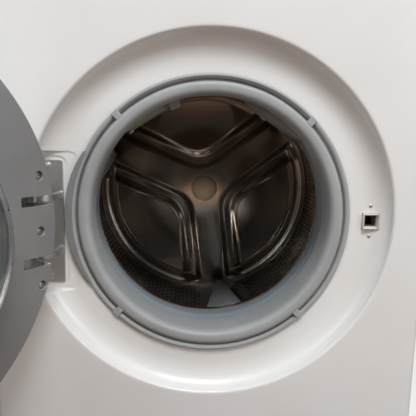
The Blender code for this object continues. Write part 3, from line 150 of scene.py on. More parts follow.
def colours():
    return bpy.context.scene.washer_colours


# Places and lines

def at(x, depth, rise):
    """A place given from the middle of the porthole, in the plane of the front sheet."""
    return PORT + Vector((x, depth, rise))


def arc(centre, radius, start, end, count):
    """Points along an arc, in degrees. The radius may be a pair for an ellipse."""
    across, along = radius if isinstance(radius, tuple) else (radius, radius)
    points = []
    for step in range(count + 1):
        angle = math.radians(start + (end - start) * step / count)
        points.append((centre[0] + across * math.cos(angle), centre[1] + along * math.sin(angle)))
    return points


def softened(line, rounds=2, closed=True):
    """A line with its corners cut off again and again, which rounds them."""
    for _ in range(rounds):
        ends = list(zip(line, line[1:] + line[:1])) if closed else list(zip(line, line[1:]))
        cut = []
        for (x1, y1), (x2, y2) in ends:
            cut.append((0.75 * x1 + 0.25 * x2, 0.75 * y1 + 0.25 * y2))
            cut.append((0.25 * x1 + 0.75 * x2, 0.25 * y1 + 0.75 * y2))
        line = cut if closed else [line[0]] + cut[1:-1] + [line[-1]]
    return line


def rounded_rectangle(left, bottom, right, top, radius, count=6):
    corners = [(right - radius, top - radius, 0), (left + radius, top - radius, 90),
               (left + radius, bottom + radius, 180), (right - radius, bottom + radius, 270)]
    points = []
    for x, y, start in corners:
        points += arc((x, y), radius, start, start + 90, count)
    return points


def ease(low, high, value):
    """0 below low, 1 above high, and a smooth slope between."""
    share = min(max((value - low) / (high - low), 0.0), 1.0)
    return share * share * (3 - 2 * share)


def soft_least(first, second, blend):
    """The smaller of two distances, rounded where they are nearly alike."""
    near = max(blend - abs(first - second), 0.0)
    return min(first, second) - near * near / (4 * blend)


# Modelling tools

def clear_selection():
    if bpy.context.object is not None and bpy.context.object.mode != "OBJECT":
        bpy.ops.object.mode_set(mode="OBJECT")
    bpy.ops.object.select_all(action="DESELECT")


def edit(piece):
    clear_selection()
    piece.select_set(True)
    bpy.context.view_layer.objects.active = piece
    bpy.ops.object.mode_set(mode="EDIT")
    bpy.ops.mesh.select_mode(type="VERT")


def settle(piece, smooth=30.0):
    """Closes seams, turns the faces outwards and shades the piece."""
    edit(piece)
    bpy.ops.mesh.select_all(action="SELECT")
    bpy.ops.mesh.remove_doubles(threshold=WELD)
    bpy.ops.mesh.normals_make_consistent(inside=False)
    bpy.ops.object.mode_set(mode="OBJECT")
    bpy.ops.object.transform_apply(location=True, rotation=True, scale=True)
    bpy.ops.object.shade_smooth_by_angle(angle=math.radians(smooth))
    return piece


def draw(name, points):
    """A line of edges, drawn by extruding one point from place to place, left in edit mode."""
    clear_selection()
    bpy.ops.mesh.primitive_plane_add(size=0.001, location=points[0])
    piece = bpy.context.object
    piece.name = name
    bpy.ops.object.transform_apply(location=True, rotation=True, scale=True)
    edit(piece)
    bpy.ops.mesh.select_all(action="SELECT")
    bpy.ops.mesh.merge(type="CENTER")
    for here, there in zip(points, points[1:]):
        bpy.ops.mesh.extrude_region_move(TRANSFORM_OT_translate={"value": there - here})
    return piece


def lathe(name, outline, centre=None, steps=144, closed=True, smooth=30.0):
    """A piece turned round an axis that runs into the machine, from its outline as (radius, depth)."""
    centre = PORT if centre is None else centre
    points = [centre + Vector((radius, depth, 0.0)) for radius, depth in outline]
    if closed:
        points.append(points[0])
    piece = draw(name, points)
    bpy.ops.mesh.select_all(action="SELECT")
    bpy.ops.mesh.remove_doubles(threshold=WELD)
    bpy.ops.mesh.select_all(action="SELECT")
    bpy.ops.mesh.spin(steps=steps, angle=math.tau, center=centre, axis=(0.0, 1.0, 0.0))
    return settle(piece, smooth)


def slab(name, outline, push, smooth=30.0, bevel=0.0):
    """A flat outline filled and extruded, with its rims bevelled if asked."""
    piece = draw(name, list(outline) + [outline[0]])
    bpy.ops.mesh.select_all(action="SELECT")
    bpy.ops.mesh.remove_doubles(threshold=WELD)
    bpy.ops.mesh.select_all(action="SELECT")
    bpy.ops.mesh.edge_face_add()
    bpy.ops.mesh.extrude_region_move(TRANSFORM_OT_translate={"value": push})
    settle(piece, smooth)
    return bevelled(piece, bevel, smooth) if bevel else piece


def bevelled(piece, width, smooth=30.0, segments=3, angle=40.0):
    """Rounds the edges that are sharper than an angle."""
    step = piece.modifiers.new("soft edges", "BEVEL")
    step.width = width
    step.segments = segments
    step.limit_method = "ANGLE"
    step.angle_limit = math.radians(angle)
    step.use_clamp_overlap = True
    step.harden_normals = False
    apply_step(piece, step)
    return settle(piece, smooth)


def apply_step(piece, step):
    clear_selection()
    piece.select_set(True)
    bpy.context.view_layer.objects.active = piece
    bpy.ops.object.modifier_apply(modifier=step.name)
    return piece


def front_slab(name, outline, start, end, smooth=30.0, bevel=0.0):
    """A slab that faces the front, from its outline as (x, rise)."""
    points = [at(x, start, rise) for x, rise in outline]
    return slab(name, points, Vector((0.0, end - start, 0.0)), smooth, bevel)


def flat_slab(name, outline, low, high, smooth=30.0, bevel=0.0):
    """A slab that lies flat, from its outline as (x, depth), between two rises."""
    points = [at(x, depth, low) for x, depth in outline]
    return slab(name, points, Vector((0.0, 0.0, high - low)), smooth, bevel)


def block(name, low, high, radius=0.0, segments=3):
    """A box between two corners, with its edges bevelled in edit mode."""
    clear_selection()
    low, high = Vector(low), Vector(high)
    bpy.ops.mesh.primitive_cube_add(size=1.0, location=(low + high) / 2)
    piece = bpy.context.object
    piece.name = name
    piece.scale = high - low
    bpy.ops.object.transform_apply(location=True, rotation=True, scale=True)
    if radius:
        edit(piece)
        bpy.ops.mesh.select_all(action="SELECT")
        bpy.ops.mesh.bevel(offset=radius, segments=segments, affect="EDGES", clamp_overlap=True)
    return settle(piece)


def stub(name, start, end, radius, far_radius=None, bevel=0.0, steps=32):
    """A round bar or cone between two places, with its rims bevelled."""
    clear_selection()
    start, end = Vector(start), Vector(end)
    far_radius = radius if far_radius is None else far_radius
    bpy.ops.mesh.primitive_cone_add(vertices=steps, radius1=radius, radius2=far_radius,
                                    depth=(end - start).length, location=(start + end) / 2)
    piece = bpy.context.object
    piece.name = name
    piece.rotation_euler = (end - start).to_track_quat("Z", "Y").to_euler()
    bpy.ops.object.transform_apply(location=True, rotation=True, scale=True)
    settle(piece)
    return bevelled(piece, bevel, segments=2) if bevel else piece


def combine(piece, tools, operation):
    for tool in tools:
        step = piece.modifiers.new("shape", "BOOLEAN")
        step.operation = operation
        step.solver = "EXACT"
        step.object = tool
        apply_step(piece, step)
        mesh = tool.data
        bpy.data.objects.remove(tool)
        bpy.data.meshes.remove(mesh)
    return piece


def face_the_front(piece, smooth):
    """Turns an open sheet's faces all one way, towards the front, and shades it."""
    edit(piece)
    bpy.ops.mesh.select_all(action="SELECT")
    bpy.ops.mesh.normals_make_consistent(inside=False)
    bpy.ops.object.mode_set(mode="OBJECT")
    if sum(polygon.normal.y * polygon.area for polygon in piece.data.polygons) > 0:
        piece.data.flip_normals()
    return shade(piece, smooth)


def select_faces(piece, wanted):
    """Selects the faces that a test accepts, in a piece that is being edited."""
    bpy.ops.mesh.select_mode(type="FACE")
    bpy.ops.mesh.select_all(action="DESELECT")
    for face in bmesh.from_edit_mesh(piece.data).faces:
        face.select = wanted(face)
    bmesh.update_edit_mesh(piece.data)


def tapered_block(name, corner):
    """A cube whose corners are moved to where a function of their signs puts them."""
    clear_selection()
    bpy.ops.mesh.primitive_cube_add(size=2.0)
    piece = bpy.context.object
    piece.name = name
    for vert in piece.data.vertices:
        vert.co = corner(*vert.co)
    return piece


def round_hole(centre, radius, reach=0.01, steps=32):
    """A cutter for a round hole that runs into the machine."""
    along = Vector((0.0, reach, 0.0))
    return stub("hole", centre - along, centre + along, radius, steps=steps)


def carve(piece, *tools):
    return combine(piece, tools, "DIFFERENCE")


def weld_on(piece, *tools):
    return combine(piece, tools, "UNION")


def join(name, pieces):
    """Several shapes that touch or lie in one another made one object."""
    clear_selection()
    for piece in pieces:
        piece.select_set(True)
    bpy.context.view_layer.objects.active = pieces[0]
    bpy.ops.object.join()
    pieces[0].name = name
    return pieces[0]


def shade(piece, smooth=30.0):
    clear_selection()
    piece.select_set(True)
    bpy.context.view_layer.objects.active = piece
    bpy.ops.object.shade_smooth_by_angle(angle=math.radians(smooth))
    return piece


def turn_about(piece, centre, degrees, axis):
    """Turns a piece about a line, and keeps its place in its mesh."""
    turn = Matrix.Rotation(math.radians(degrees), 4, axis)
    piece.data.transform(Matrix.Translation(centre) @ turn @ Matrix.Translation(-Vector(centre)))
    return piece


def swing_open(piece):
    """Takes a piece of the door from its closed place to where it stands open."""
    return turn_about(piece, HINGE, math.degrees(DOOR_OPEN), "Z")


def copy_of(piece, name):
    twin = piece.copy()
    twin.data = piece.data.copy()
    twin.name = name
    bpy.context.scene.collection.objects.link(twin)
    return twin


def rod_along(name, points, radius, sides=3, smooth=40.0):
    """A round wire along a line of places."""
    curve = bpy.data.curves.new(name, "CURVE")
    curve.dimensions = "3D"
    curve.bevel_depth = radius
    curve.bevel_resolution = sides
    curve.use_fill_caps = True
    spline = curve.splines.new("POLY")
    spline.points.add(len(points) - 1)
    for point, place in zip(spline.points, points):
        point.co = (*place, 1.0)
    wire = bpy.data.objects.new(name, curve)
    bpy.context.scene.collection.objects.link(wire)
    clear_selection()
    wire.select_set(True)
    bpy.context.view_layer.objects.active = wire
    bpy.ops.object.convert(target="MESH")
    return settle(bpy.context.object, smooth)


def place(piece, body, slot, finish, *nodes):
    """Gives a finished piece its material and its place in the frame."""
    piece.data.materials.clear()
    piece.data.materials.append(finish)
    for polygon in piece.data.polygons:
        polygon.material_index = 0
    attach(piece, body)
    if nodes:
        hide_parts(*nodes)
    return piece


# Finishes

class Amount:
    """A number or colour inside a finish. Sums on it are written as ordinary Python."""

    def __init__(self, finish, socket):
        self.finish = finish
        self.socket = socket

    def maths(self, operation, *values):
        made = self.finish.node("ShaderNodeMath", {"operation": operation}, dict(enumerate(values)))
        return Amount(self.finish, made.outputs[0])

    def __add__(self, other):
        return self.maths("ADD", self, other)

    def __radd__(self, other):
        return self.maths("ADD", other, self)

    def __sub__(self, other):
        return self.maths("SUBTRACT", self, other)

    def __rsub__(self, other):
        return self.maths("SUBTRACT", other, self)

    def __mul__(self, other):
        return self.maths("MULTIPLY", self, other)

    def __rmul__(self, other):
        return self.maths("MULTIPLY", other, self)

    def __pow__(self, other):
        return self.maths("POWER", self, other)

    def root(self):
        return self.maths("SQRT", self)

    def angle_to(self, other):
        return self.maths("ARCTAN2", self, other)

    def between(self, low, high):
        """0 below low, 1 above high, smooth between."""
        made = self.finish.node("ShaderNodeMapRange", {"interpolation_type": "SMOOTHSTEP"},
                                {"Value": self, "From Min": low, "From Max": high})
        return Amount(self.finish, made.outputs["Result"])


class Finish:
    """One material, built from nodes that read the piece's own coordinates."""

    def __init__(self, name, metallic=0.0, coat=0.0):
        self.material = bpy.data.materials.new(name)
        self.material.use_nodes = True
        self.tree = self.material.node_tree
        self.shader = self.tree.nodes["Principled BSDF"]
        self.shader.inputs["Metallic"].default_value = metallic
        self.shader.inputs["Coat Weight"].default_value = coat
        self.place = Amount(self, self.node("ShaderNodeTexCoord").outputs["Object"])

    def put(self, socket, value):
        if isinstance(value, Amount):
            self.tree.links.new(value.socket, socket)
        elif isinstance(value, tuple) and len(value) == 3 and socket.type == "RGBA":
            socket.default_value = (*value, 1.0)
        else:
            socket.default_value = value

    def node(self, kind, settings=None, inputs=None):
        made = self.tree.nodes.new(kind)
        for key, value in (settings or {}).items():
            setattr(made, key, value)
        for key, value in (inputs or {}).items():
            self.put(made.inputs[key], value)
        return made

    def noise(self, scale, detail=2.0, spot=None, distortion=0.0):
        made = self.node("ShaderNodeTexNoise", None,
                         {"Vector": spot or self.place, "Scale": scale, "Detail": detail,
                          "Distortion": distortion})
        return Amount(self, made.outputs["Fac"])

    def cells(self, scale, output="Distance", spot=None, feature="F1"):
        made = self.node("ShaderNodeTexVoronoi", {"feature": feature},
                         {"Vector": spot or self.place, "Scale": scale})
        return Amount(self, made.outputs[output])

    def mix(self, share, first, second):
        made = self.node("ShaderNodeMix", {"data_type": "RGBA"}, {0: share, 6: first, 7: second})
        return Amount(self, made.outputs[2])

    def stretched(self, scale):
        made = self.node("ShaderNodeMapping", None, {"Vector": self.place, "Scale": scale})
        return Amount(self, made.outputs["Vector"])

    def parts(self, spot=None):
        made = self.node("ShaderNodeSeparateXYZ", None, {0: spot or self.place})
        return [Amount(self, output) for output in made.outputs]

    def vector(self, x, y, z):
        made = self.node("ShaderNodeCombineXYZ", None, {0: x, 1: y, 2: z})
        return Amount(self, made.outputs[0])

    def polar(self):
        """Radius and angle about the drum's axis."""
        x, _, z = self.parts()
        across, rise = x - PORT.x, z - PORT.z
        radius = (across * across + rise * rise).root()
        return radius, rise.angle_to(across)

    def surface(self, colour, roughness, relief=None, height=0.0002, strength=0.5):
        self.put(self.shader.inputs["Base Color"], colour)
        self.put(self.shader.inputs["Roughness"], roughness)
        if relief is not None:
            bump = self.node("ShaderNodeBump", None,
                             {"Strength": strength, "Distance": height, "Height": relief})
            self.tree.links.new(bump.outputs["Normal"], self.shader.inputs["Normal"])
        return self.material


def dimmed(colour, share, warmth=0.0):
    return (colour[0] * share * (1 + warmth), colour[1] * share, colour[2] * share * (1 - warmth))


def enamel(name, colour, roughness=0.30):
    """Sprayed and baked enamel: faint orange peel, a film of dust and small wipe marks."""
    finish = Finish(name, coat=0.25)
    cloud = finish.noise(7.0, 4.0).between(0.35, 0.75)
    tone = finish.mix(cloud, tuple(colour), dimmed(colour, 0.955, 0.010))
    fleck = finish.noise(240.0, 1.0).between(0.74, 0.80)
    tone = finish.mix(fleck * 0.20, tone, dimmed(colour, 0.72, 0.03))
    wipe = finish.noise(14.0, 5.0, finish.stretched((1.0, 1.0, 3.5)), 0.6)
    peel = finish.noise(520.0, 2.0)
    return finish.surface(tone, roughness + wipe * 0.16, peel, 0.00016, 0.35)


def moulded(name, colour, roughness=0.42, grain=1500.0, relief=0.4):
    """Injection moulded plastic with a fine spark-eroded grain and dull scuffs."""
    finish = Finish(name)
    cloud = finish.noise(18.0, 4.0)
    scuff = finish.noise(60.0, 6.0, finish.stretched((1.0, 2.0, 0.5)), 1.0).between(0.58, 0.72)
    tone = finish.mix(cloud.between(0.3, 0.7), tuple(colour), dimmed(colour, 0.93))
    tone = finish.mix(scuff * 0.18, tone, dimmed(colour, 1.18))
    pits = finish.noise(grain, 3.0)
    return finish.surface(tone, roughness + scuff * 0.14 + cloud * 0.05, pits, 0.00010, relief)


def rubber(name, colour, roughness=0.46, chalk=0.25):
    """Soft rubber with flow lines round it, chalky streaks, a faint sheen, and painted shade that turns it
    darker and bluer deep behind the front.
    """
    finish = Finish(name)
    finish.shader.inputs["Sheen Weight"].default_value = 0.12
    radius, angle = finish.polar()
    flow = finish.noise(1.0, 3.0, finish.vector(radius * 900.0, angle * 3.0, radius * 200.0))
    film = finish.noise(11.0, 5.0, None, 0.8).between(0.42, 0.72)
    tone = finish.mix(film * chalk, tuple(colour), dimmed(colour, 1.35))
    tone = finish.mix(finish.noise(30.0, 4.0).between(0.55, 0.75) * 0.25, tone, dimmed(colour, 0.72, 0.05))
    # painted shade: the rubber turns darker and bluer from 90 to 106 mm behind the front sheet and stays so
    # beyond, where the gasket's inner bellows lie in shade
    painted_deep_shade = finish.parts()[1].between(FRONT + 0.090, FRONT + 0.106)
    tone = finish.mix(painted_deep_shade, tone, (colour[0] * 0.60, colour[1] * 0.68, colour[2] * 0.74))
    relief = flow * 0.35 + finish.noise(900.0, 2.0) * 0.65
    return finish.surface(tone, roughness + film * 0.16, relief, 0.00014, 0.4)


def turned_steel(name, colour, roughness=0.17, brushing=0.35):
    """Drum steel, drawn and polished in rings, with water marks and a brown tarnish."""
    finish = Finish(name, metallic=1.0)
    radius, angle = finish.polar()
    depth = finish.parts()[1]
    ring = finish.noise(1.0, 3.0, finish.vector(radius * 1500.0, angle * 1.2, depth * 1500.0))
    tarnish = finish.noise(9.0, 5.0, None, 0.5).between(0.30, 0.75)
    stain = finish.noise(46.0, 5.0, None, 1.2).between(0.60, 0.72)
    tone = finish.mix(tarnish, tuple(colour), dimmed(colour, 0.80, 0.05))
    tone = finish.mix(stain * 0.12, tone, dimmed(colour, 0.60))
    return finish.surface(tone, roughness + ring * 0.08 + stain * 0.03, ring, 0.00005, brushing)


def brushed(name, colour, roughness=0.30, along=(1.0, 1.0, 60.0), spangle=0.55):
    """Rolled and zinc coated sheet: fine lines one way, and the zinc's crystals."""
    finish = Finish(name, metallic=1.0)
    lines = finish.noise(45.0, 4.0, finish.stretched(along))
    crystal = finish.cells(95.0, "Color")
    shine = Amount(finish, finish.node("ShaderNodeRGBToBW", None, {0: crystal}).outputs[0])
    tone = finish.mix(shine * spangle, tuple(colour), dimmed(colour, 1.25))
    return finish.surface(tone, roughness + shine * 0.15 * spangle + lines * 0.10, lines, 0.00008, 0.35)


def casting(name, colour, metallic, roughness=0.72, lumps=260.0):
    """A sand or die casting with a lumpy skin and darker pits."""
    finish = Finish(name, metallic=metallic)
    skin = finish.noise(lumps, 5.0)
    pits = finish.cells(lumps * 0.8).between(0.02, 0.16)
    tone = finish.mix(pits, dimmed(colour, 0.45), tuple(colour))
    tone = finish.mix(finish.noise(12.0, 4.0).between(0.4, 0.7), tone, dimmed(colour, 0.82))
    return finish.surface(tone, roughness + skin * 0.15, skin * 0.7 + pits * 0.3, 0.0006, 0.6)


def clear_glass(name):
    """Moulded clear glass, with faint smears where it is wiped."""
    finish = Finish(name)
    finish.shader.inputs["Transmission Weight"].default_value = 1.0
    finish.shader.inputs["IOR"].default_value = 1.47
    smear = finish.noise(16.0, 5.0, None, 1.5).between(0.45, 0.75)
    tone = finish.mix(smear, (0.93, 0.96, 0.96), (0.88, 0.91, 0.91))
    return finish.surface(tone, 0.015 + smear * 0.07, finish.noise(30.0, 1.0), 0.0003, 0.08)


def smoked(name):
    """Smoked glossy plastic over a dark ground, with dust and fine hairlines."""
    finish = Finish(name, coat=0.6)
    dust = finish.noise(420.0, 2.0).between(0.66, 0.74)
    smear = finish.noise(12.0, 5.0, None, 1.5).between(0.45, 0.75)
    tone = finish.mix(dust * 0.12, (0.012, 0.013, 0.015), (0.06, 0.06, 0.06))
    return finish.surface(tone, 0.08 + smear * 0.10, finish.noise(40.0, 1.0), 0.0002, 0.05)


def laminate(name, colour):
    """Melamine laminate with a fine pearl texture."""
    finish = Finish(name, coat=0.15)
    pearl = finish.cells(700.0)
    tone = finish.mix(finish.noise(9.0, 4.0).between(0.4, 0.7), tuple(colour), dimmed(colour, 0.96))
    return finish.surface(tone, 0.34 + finish.noise(25.0, 4.0) * 0.10, pearl, 0.00012, 0.35)


def glowing(name, colour, strength):
    """Lit figures on the face of the display, uneven as a real lamp's."""
    finish = Finish(name)
    even = finish.noise(150.0, 2.0)
    finish.put(finish.shader.inputs["Emission Color"], finish.mix(even, tuple(colour), dimmed(colour, 0.8)))
    finish.shader.inputs["Emission Strength"].default_value = strength
    return finish.surface(finish.mix(even, tuple(colour), dimmed(colour, 0.9)), 0.4)


FINISHES = {}


def make_finishes():
    hue = colours()
    FINISHES.update({
        "enamel": enamel("white enamel", hue.enamel),
        "plastic": moulded("white plastic", hue.plastic, 0.36, 1500.0, 0.25),
        "cream": moulded("cream plastic", hue.cream, 0.40, 1500.0, 0.25),
        "grey": moulded("grey plastic", hue.grey, 0.42, 1300.0, 0.5),
        "dark_grey": moulded("dark grey plastic", dimmed(hue.grey, 0.45), 0.48, 1300.0, 0.5),
        "blue_grey": moulded("lifter plastic", (0.13, 0.137, 0.147), 0.34, 1300.0, 0.3),
        "nozzle": moulded("pale green plastic", (0.22, 0.25, 0.20), 0.30, 1300.0, 0.2),
        "tub": moulded("tub plastic", (0.40, 0.42, 0.43), 0.55, 700.0, 0.8),
        "gasket": rubber("gasket rubber", hue.rubber),
        "gasket_dark": rubber("gasket flap rubber", dimmed(hue.rubber, 0.62), 0.50, 0.15),
        "black_rubber": rubber("black rubber", (0.018, 0.018, 0.019), 0.62, 0.5),
        "drum": turned_steel("drum steel", hue.steel),
        "cap": turned_steel("hub cap steel", (0.62, 0.58, 0.46), 0.36, 0.5),
        "zinc": brushed("zinc coated steel", hue.zinc),
        "bright": brushed("bright steel", (0.60, 0.60, 0.59), 0.30, (30.0, 1.0, 1.5), 0.06),
        "brass": brushed("passivated lever", (0.30, 0.20, 0.13), 0.35, (20.0, 1.0, 1.0)),
        "aluminium": casting("cast aluminium", (0.58, 0.58, 0.58), 1.0, 0.38, 420.0),
        "weight": casting("cast weight", (0.25, 0.25, 0.24), 0.0, 0.80, 150.0),
        "glass": clear_glass("moulded glass"),
        "smoked": smoked("smoked window"),
        "laminate": laminate("white laminate", hue.plastic),
        "lamp": glowing("display segments", (0.75, 0.90, 1.0), 0.8),
    })


# Stage

def stage():
    """A floor that is pale to look at and brown in reflections, and soft lights."""
    clear_selection()
    bpy.ops.mesh.primitive_plane_add(size=14.0, location=(0.0, 0.0, -0.0005))
    floor = bpy.context.object
    floor.name = "studio_floor"
    edit(floor)
    bpy.ops.mesh.select_all(action="SELECT")
    bpy.ops.mesh.subdivide(number_cuts=6)
    bpy.ops.object.mode_set(mode="OBJECT")
    finish = Finish("studio floor")
    speckle = finish.noise(3.0, 3.0)
    pale = finish.surface(finish.mix(speckle, (0.80, 0.79, 0.77), (0.76, 0.75, 0.73)), 0.55 + speckle * 0.1)
    wood = finish.node("ShaderNodeBsdfDiffuse", None, {"Color": (0.13, 0.075, 0.050)})
    path = finish.node("ShaderNodeLightPath")
    choose = finish.node("ShaderNodeMixShader", None, {0: Amount(finish, path.outputs["Is Camera Ray"])})
    finish.tree.links.new(wood.outputs[0], choose.inputs[1])
    finish.tree.links.new(finish.shader.outputs[0], choose.inputs[2])
    finish.tree.links.new(choose.outputs[0], finish.tree.nodes["Material Output"].inputs[0])
    floor.data.materials.append(pale)
    for name, where, size, power, colour in (
            ("key", (0.3, -1.7, 2.5), 1.0, 49.0, (1.0, 1.0, 1.0)),
            ("fill_left", (-2.0, -2.2, 1.7), 1.2, 17.0, (0.96, 0.98, 1.0)),
            ("fill_right", (2.2, -2.0, 1.1), 1.2, 20.0, (0.98, 0.99, 1.0)),
            ("glow", (0.0, -1.25, 0.012), 1.40, 1.4, (1.0, 0.80, 0.66)),
            ("card", (0.0, -1.9, 0.10), 0.90, 0.40, (1.0, 0.68, 0.46)),
            ("back", (0.6, 2.6, 2.2), 1.8, 40.0, (1.0, 1.0, 1.0))):
        lamp = bpy.data.lights.new(name, "AREA")
        lamp.size = size
        if name == "card":
            lamp.shape = "RECTANGLE"
            lamp.size_y = 0.20
        lamp.energy = power
        lamp.color = colour
        holder = bpy.data.objects.new("light_" + name, lamp)
        bpy.context.scene.collection.objects.link(holder)
        holder.location = where
        holder.visible_camera = False
        aim = Vector((0.0, 0.0, 1.0)) if name == "glow" else Vector((0.0, 0.0, 0.45)) - Vector(where)
        holder.rotation_euler = aim.to_track_quat("-Z", "Y").to_euler()
    surroundings()


def surroundings():
    """A pale room that the camera sees, and a dimmer one that the metal reflects."""
    world = bpy.data.worlds.new("studio")
    bpy.context.scene.world = world
    world.use_nodes = True
    nodes, links = world.node_tree.nodes, world.node_tree.links
    pale = nodes["Background"]
    pale.inputs["Color"].default_value = (1.0, 1.0, 1.0, 1.0)
    pale.inputs["Strength"].default_value = 1.0
    dim = nodes.new("ShaderNodeBackground")
    dim.inputs["Strength"].default_value = 1.0
    spot = nodes.new("ShaderNodeTexCoord")
    height = nodes.new("ShaderNodeSeparateXYZ")
    ramp = nodes.new("ShaderNodeValToRGB")
    stops = ramp.color_ramp.elements
    stops[0].position = 0.0
    stops[0].color = (0.030, 0.028, 0.027, 1.0)
    stops[1].position = 0.75
    stops[1].color = (0.62, 0.64, 0.66, 1.0)
    middle = stops.new(0.42)
    middle.color = (0.040, 0.042, 0.045, 1.0)
    path = nodes.new("ShaderNodeLightPath")
    choose = nodes.new("ShaderNodeMixShader")
    links.new(spot.outputs["Generated"], height.inputs[0])
    links.new(height.outputs["Z"], ramp.inputs[0])
    links.new(ramp.outputs[0], dim.inputs["Color"])
    links.new(path.outputs["Is Camera Ray"], choose.inputs[0])
    links.new(dim.outputs[0], choose.inputs[1])
    links.new(pale.outputs[0], choose.inputs[2])
    links.new(choose.outputs[0], nodes["World Output"].inputs[0])
    bpy.context.scene.view_settings.view_transform = "Standard"


def camera():
    lens = bpy.data.cameras.new("camera")
    lens.lens = 39.05
    lens.sensor_width = 36.0
    lens.clip_start = 0.02
    eye = bpy.data.objects.new("camera", lens)
    bpy.context.scene.collection.objects.link(eye)
    yaw, pitch, roll = (math.radians(value) for value in (2.05, 8.05, 1.2))
    ahead = Vector((math.sin(yaw) * math.cos(pitch), math.cos(yaw) * math.cos(pitch), -math.sin(pitch)))
    right = Vector((math.cos(yaw), -math.sin(yaw), 0.0))
    up = right.cross(ahead)
    tilted = right * math.cos(roll) + up * math.sin(roll)
    upright = up * math.cos(roll) - right * math.sin(roll)
    eye.matrix_world = Matrix.Translation(at(-0.0275, -0.604, 0.1013)) @ Matrix(
        (tilted, upright, -ahead)).transposed().to_4x4()
    bpy.context.scene.camera = eye


# The dished front sheet

HINGE_POCKET = (-0.262, -0.108, -0.188, 0.087)
POCKET_CORNER = 0.008
PLATE_RECESS = (-0.262, -0.101, -0.2015, 0.0805)
PLATE_RECESS_CORNER = 0.011
PANEL_BEND = 0.008
LATCH_X = 0.227
LATCH_SCREW_RISES = (LATCH_RISE + 0.022, LATCH_RISE - 0.022)


def rectangle_distance(x, rise, box, corner):
    """How far a point lies outside a rounded rectangle, negative inside."""
    left, low, right, high = box
    across = abs(x - (left + right) / 2) - (right - left) / 2 + corner
    along = abs(rise - (low + high) / 2) - (high - low) / 2 + corner
    outside = math.hypot(max(across, 0.0), max(along, 0.0))
    return outside + min(max(across, along), 0.0) - corner


def dish_line():
    """The front line of the dish, from the porthole's flange out to the flat front."""
    size = sizes()
    port, floor, rim, depth = size.port_radius, size.dish_floor_radius, size.rim_radius, size.dish_depth
    round_off = 0.004
    line = [(port, depth + 0.008), (port, depth + 0.003)]
    line += arc((port + 0.003, depth + 0.003), 0.003, 180, 270, 4)[1:]
    line += [(port + 0.010, depth), (port + 0.017, depth)]
    line += arc((floor, round_off), (rim - floor, depth - round_off), 90, 0, 14)
    line += arc((rim + round_off, round_off), round_off, 180, 270, 5)[1:]
    line += [(rim + 0.0075 + 0.0025 * step, 0.0) for step in range(12)]
    return line


def unrolled_edge(x, rise, half, low, high):
    """Where the ray from the middle through a point meets the blank's straight edges."""
    reach = [half / abs(x)] if abs(x) > 1e-6 else []
    if abs(rise) > 1e-6:
        reach.append((high if rise > 0 else low) / rise)
    return min(reach)


def folded(x):
    """Takes a place on the flat blank round the bend at the sheet's side: new x and depth."""
    side, bend = PANEL_SIDE, PANEL_BEND
    straight = side - bend
    if abs(x) <= straight:
        return x, 0.0
    along = abs(x) - straight
    quarter = bend * math.pi / 2
    if along < quarter:
        angle = along / bend
        return math.copysign(straight + bend * math.sin(angle), x), bend * (1 - math.cos(angle))
    return math.copysign(side, x), bend + along - quarter


def front_panel():
    """One sheet: flat front, dish, hinge pocket, latch hole and folded sides."""
    low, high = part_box("front_panel")
    low_rise, high_rise = low.z - PORT.z, high.z - PORT.z
    bend, fold_depth = PANEL_BEND, 0.014
    quarter = bend * math.pi / 2
    half = high.x - bend + quarter + fold_depth - bend
    piece = lathe("front_sheet", dish_line(), steps=480, closed=False)
    edit(piece)
    bpy.ops.mesh.select_all(action="DESELECT")
    shape = bmesh.from_edit_mesh(piece.data)
    outermost = max(math.hypot(v.co.x - PORT.x, v.co.z - PORT.z) for v in shape.verts)
    for edge in shape.edges:
        if all(math.hypot(v.co.x - PORT.x, v.co.z - PORT.z) > outermost - 1e-5 for v in edge.verts):
            edge.select = True
    bmesh.update_edit_mesh(piece.data)
    bpy.ops.mesh.extrude_region_move(TRANSFORM_OT_translate={"value": (0.0, 0.0, 0.0)})
    shape = bmesh.from_edit_mesh(piece.data)
    for vert in shape.verts:
        if vert.select:
            x, rise = vert.co.x - PORT.x, vert.co.z - PORT.z
            grow = unrolled_edge(x, rise, half, low_rise, high_rise)
            vert.co = at(x * grow, 0.0, rise * grow)
    corners = [(side * half, rise) for side in (-1, 1) for rise in (low_rise, high_rise)]
    for corner_x, corner_rise in corners:
        nearest = min((v for v in shape.verts if v.select),
                      key=lambda v: math.hypot(v.co.x - PORT.x - corner_x, v.co.z - PORT.z - corner_rise))
        nearest.co = at(corner_x, 0.0, corner_rise)
    bmesh.update_edit_mesh(piece.data)
    bend_cuts = 5
    for step in range(bend_cuts + 1):
        for side in (-1, 1):
            bpy.ops.mesh.select_all(action="SELECT")
            bpy.ops.mesh.bisect(plane_co=at(side * (high.x - bend + quarter * step / bend_cuts), 0.0, 0.0),
                                plane_no=(1.0, 0.0, 0.0))
    latch_hole(piece)
    select_faces(piece, near_pocket)
    bpy.ops.mesh.subdivide(number_cuts=2)
    bpy.ops.object.mode_set(mode="OBJECT")
    for vert in piece.data.vertices:
        x, rise = vert.co.x - PORT.x, vert.co.z - PORT.z
        depth = pocket_depth(x, rise, vert.co.y - FRONT)
        x, fold = folded(x)
        vert.co = at(x, depth + fold, rise)
    face_the_front(piece, 40.0)
    wall = piece.modifiers.new("sheet", "SOLIDIFY")
    wall.thickness = 0.0009
    wall.offset = -1.0
    wall.use_even_offset = False
    apply_step(piece, wall)
    shade(piece, 40.0)
    place(piece, "cabinet", "white_enamel", FINISHES["enamel"], "front_panel")


def near_pocket(face):
    """Whether a small face lies in or beside the hinge's pocket."""
    middle = face.calc_center_median() - PORT
    margin, small = 0.008, 0.0001
    near = rectangle_distance(middle.x, middle.z, HINGE_POCKET, POCKET_CORNER) < margin
    return near and face.calc_area() < small


def near_latch(reach):
    """A test for the faces within a square about the latch's hole."""
    def wanted(face):
        middle = face.calc_center_median() - PORT
        return abs(middle.x - LATCH_X) < reach and abs(middle.z - LATCH_RISE) < reach
    return wanted


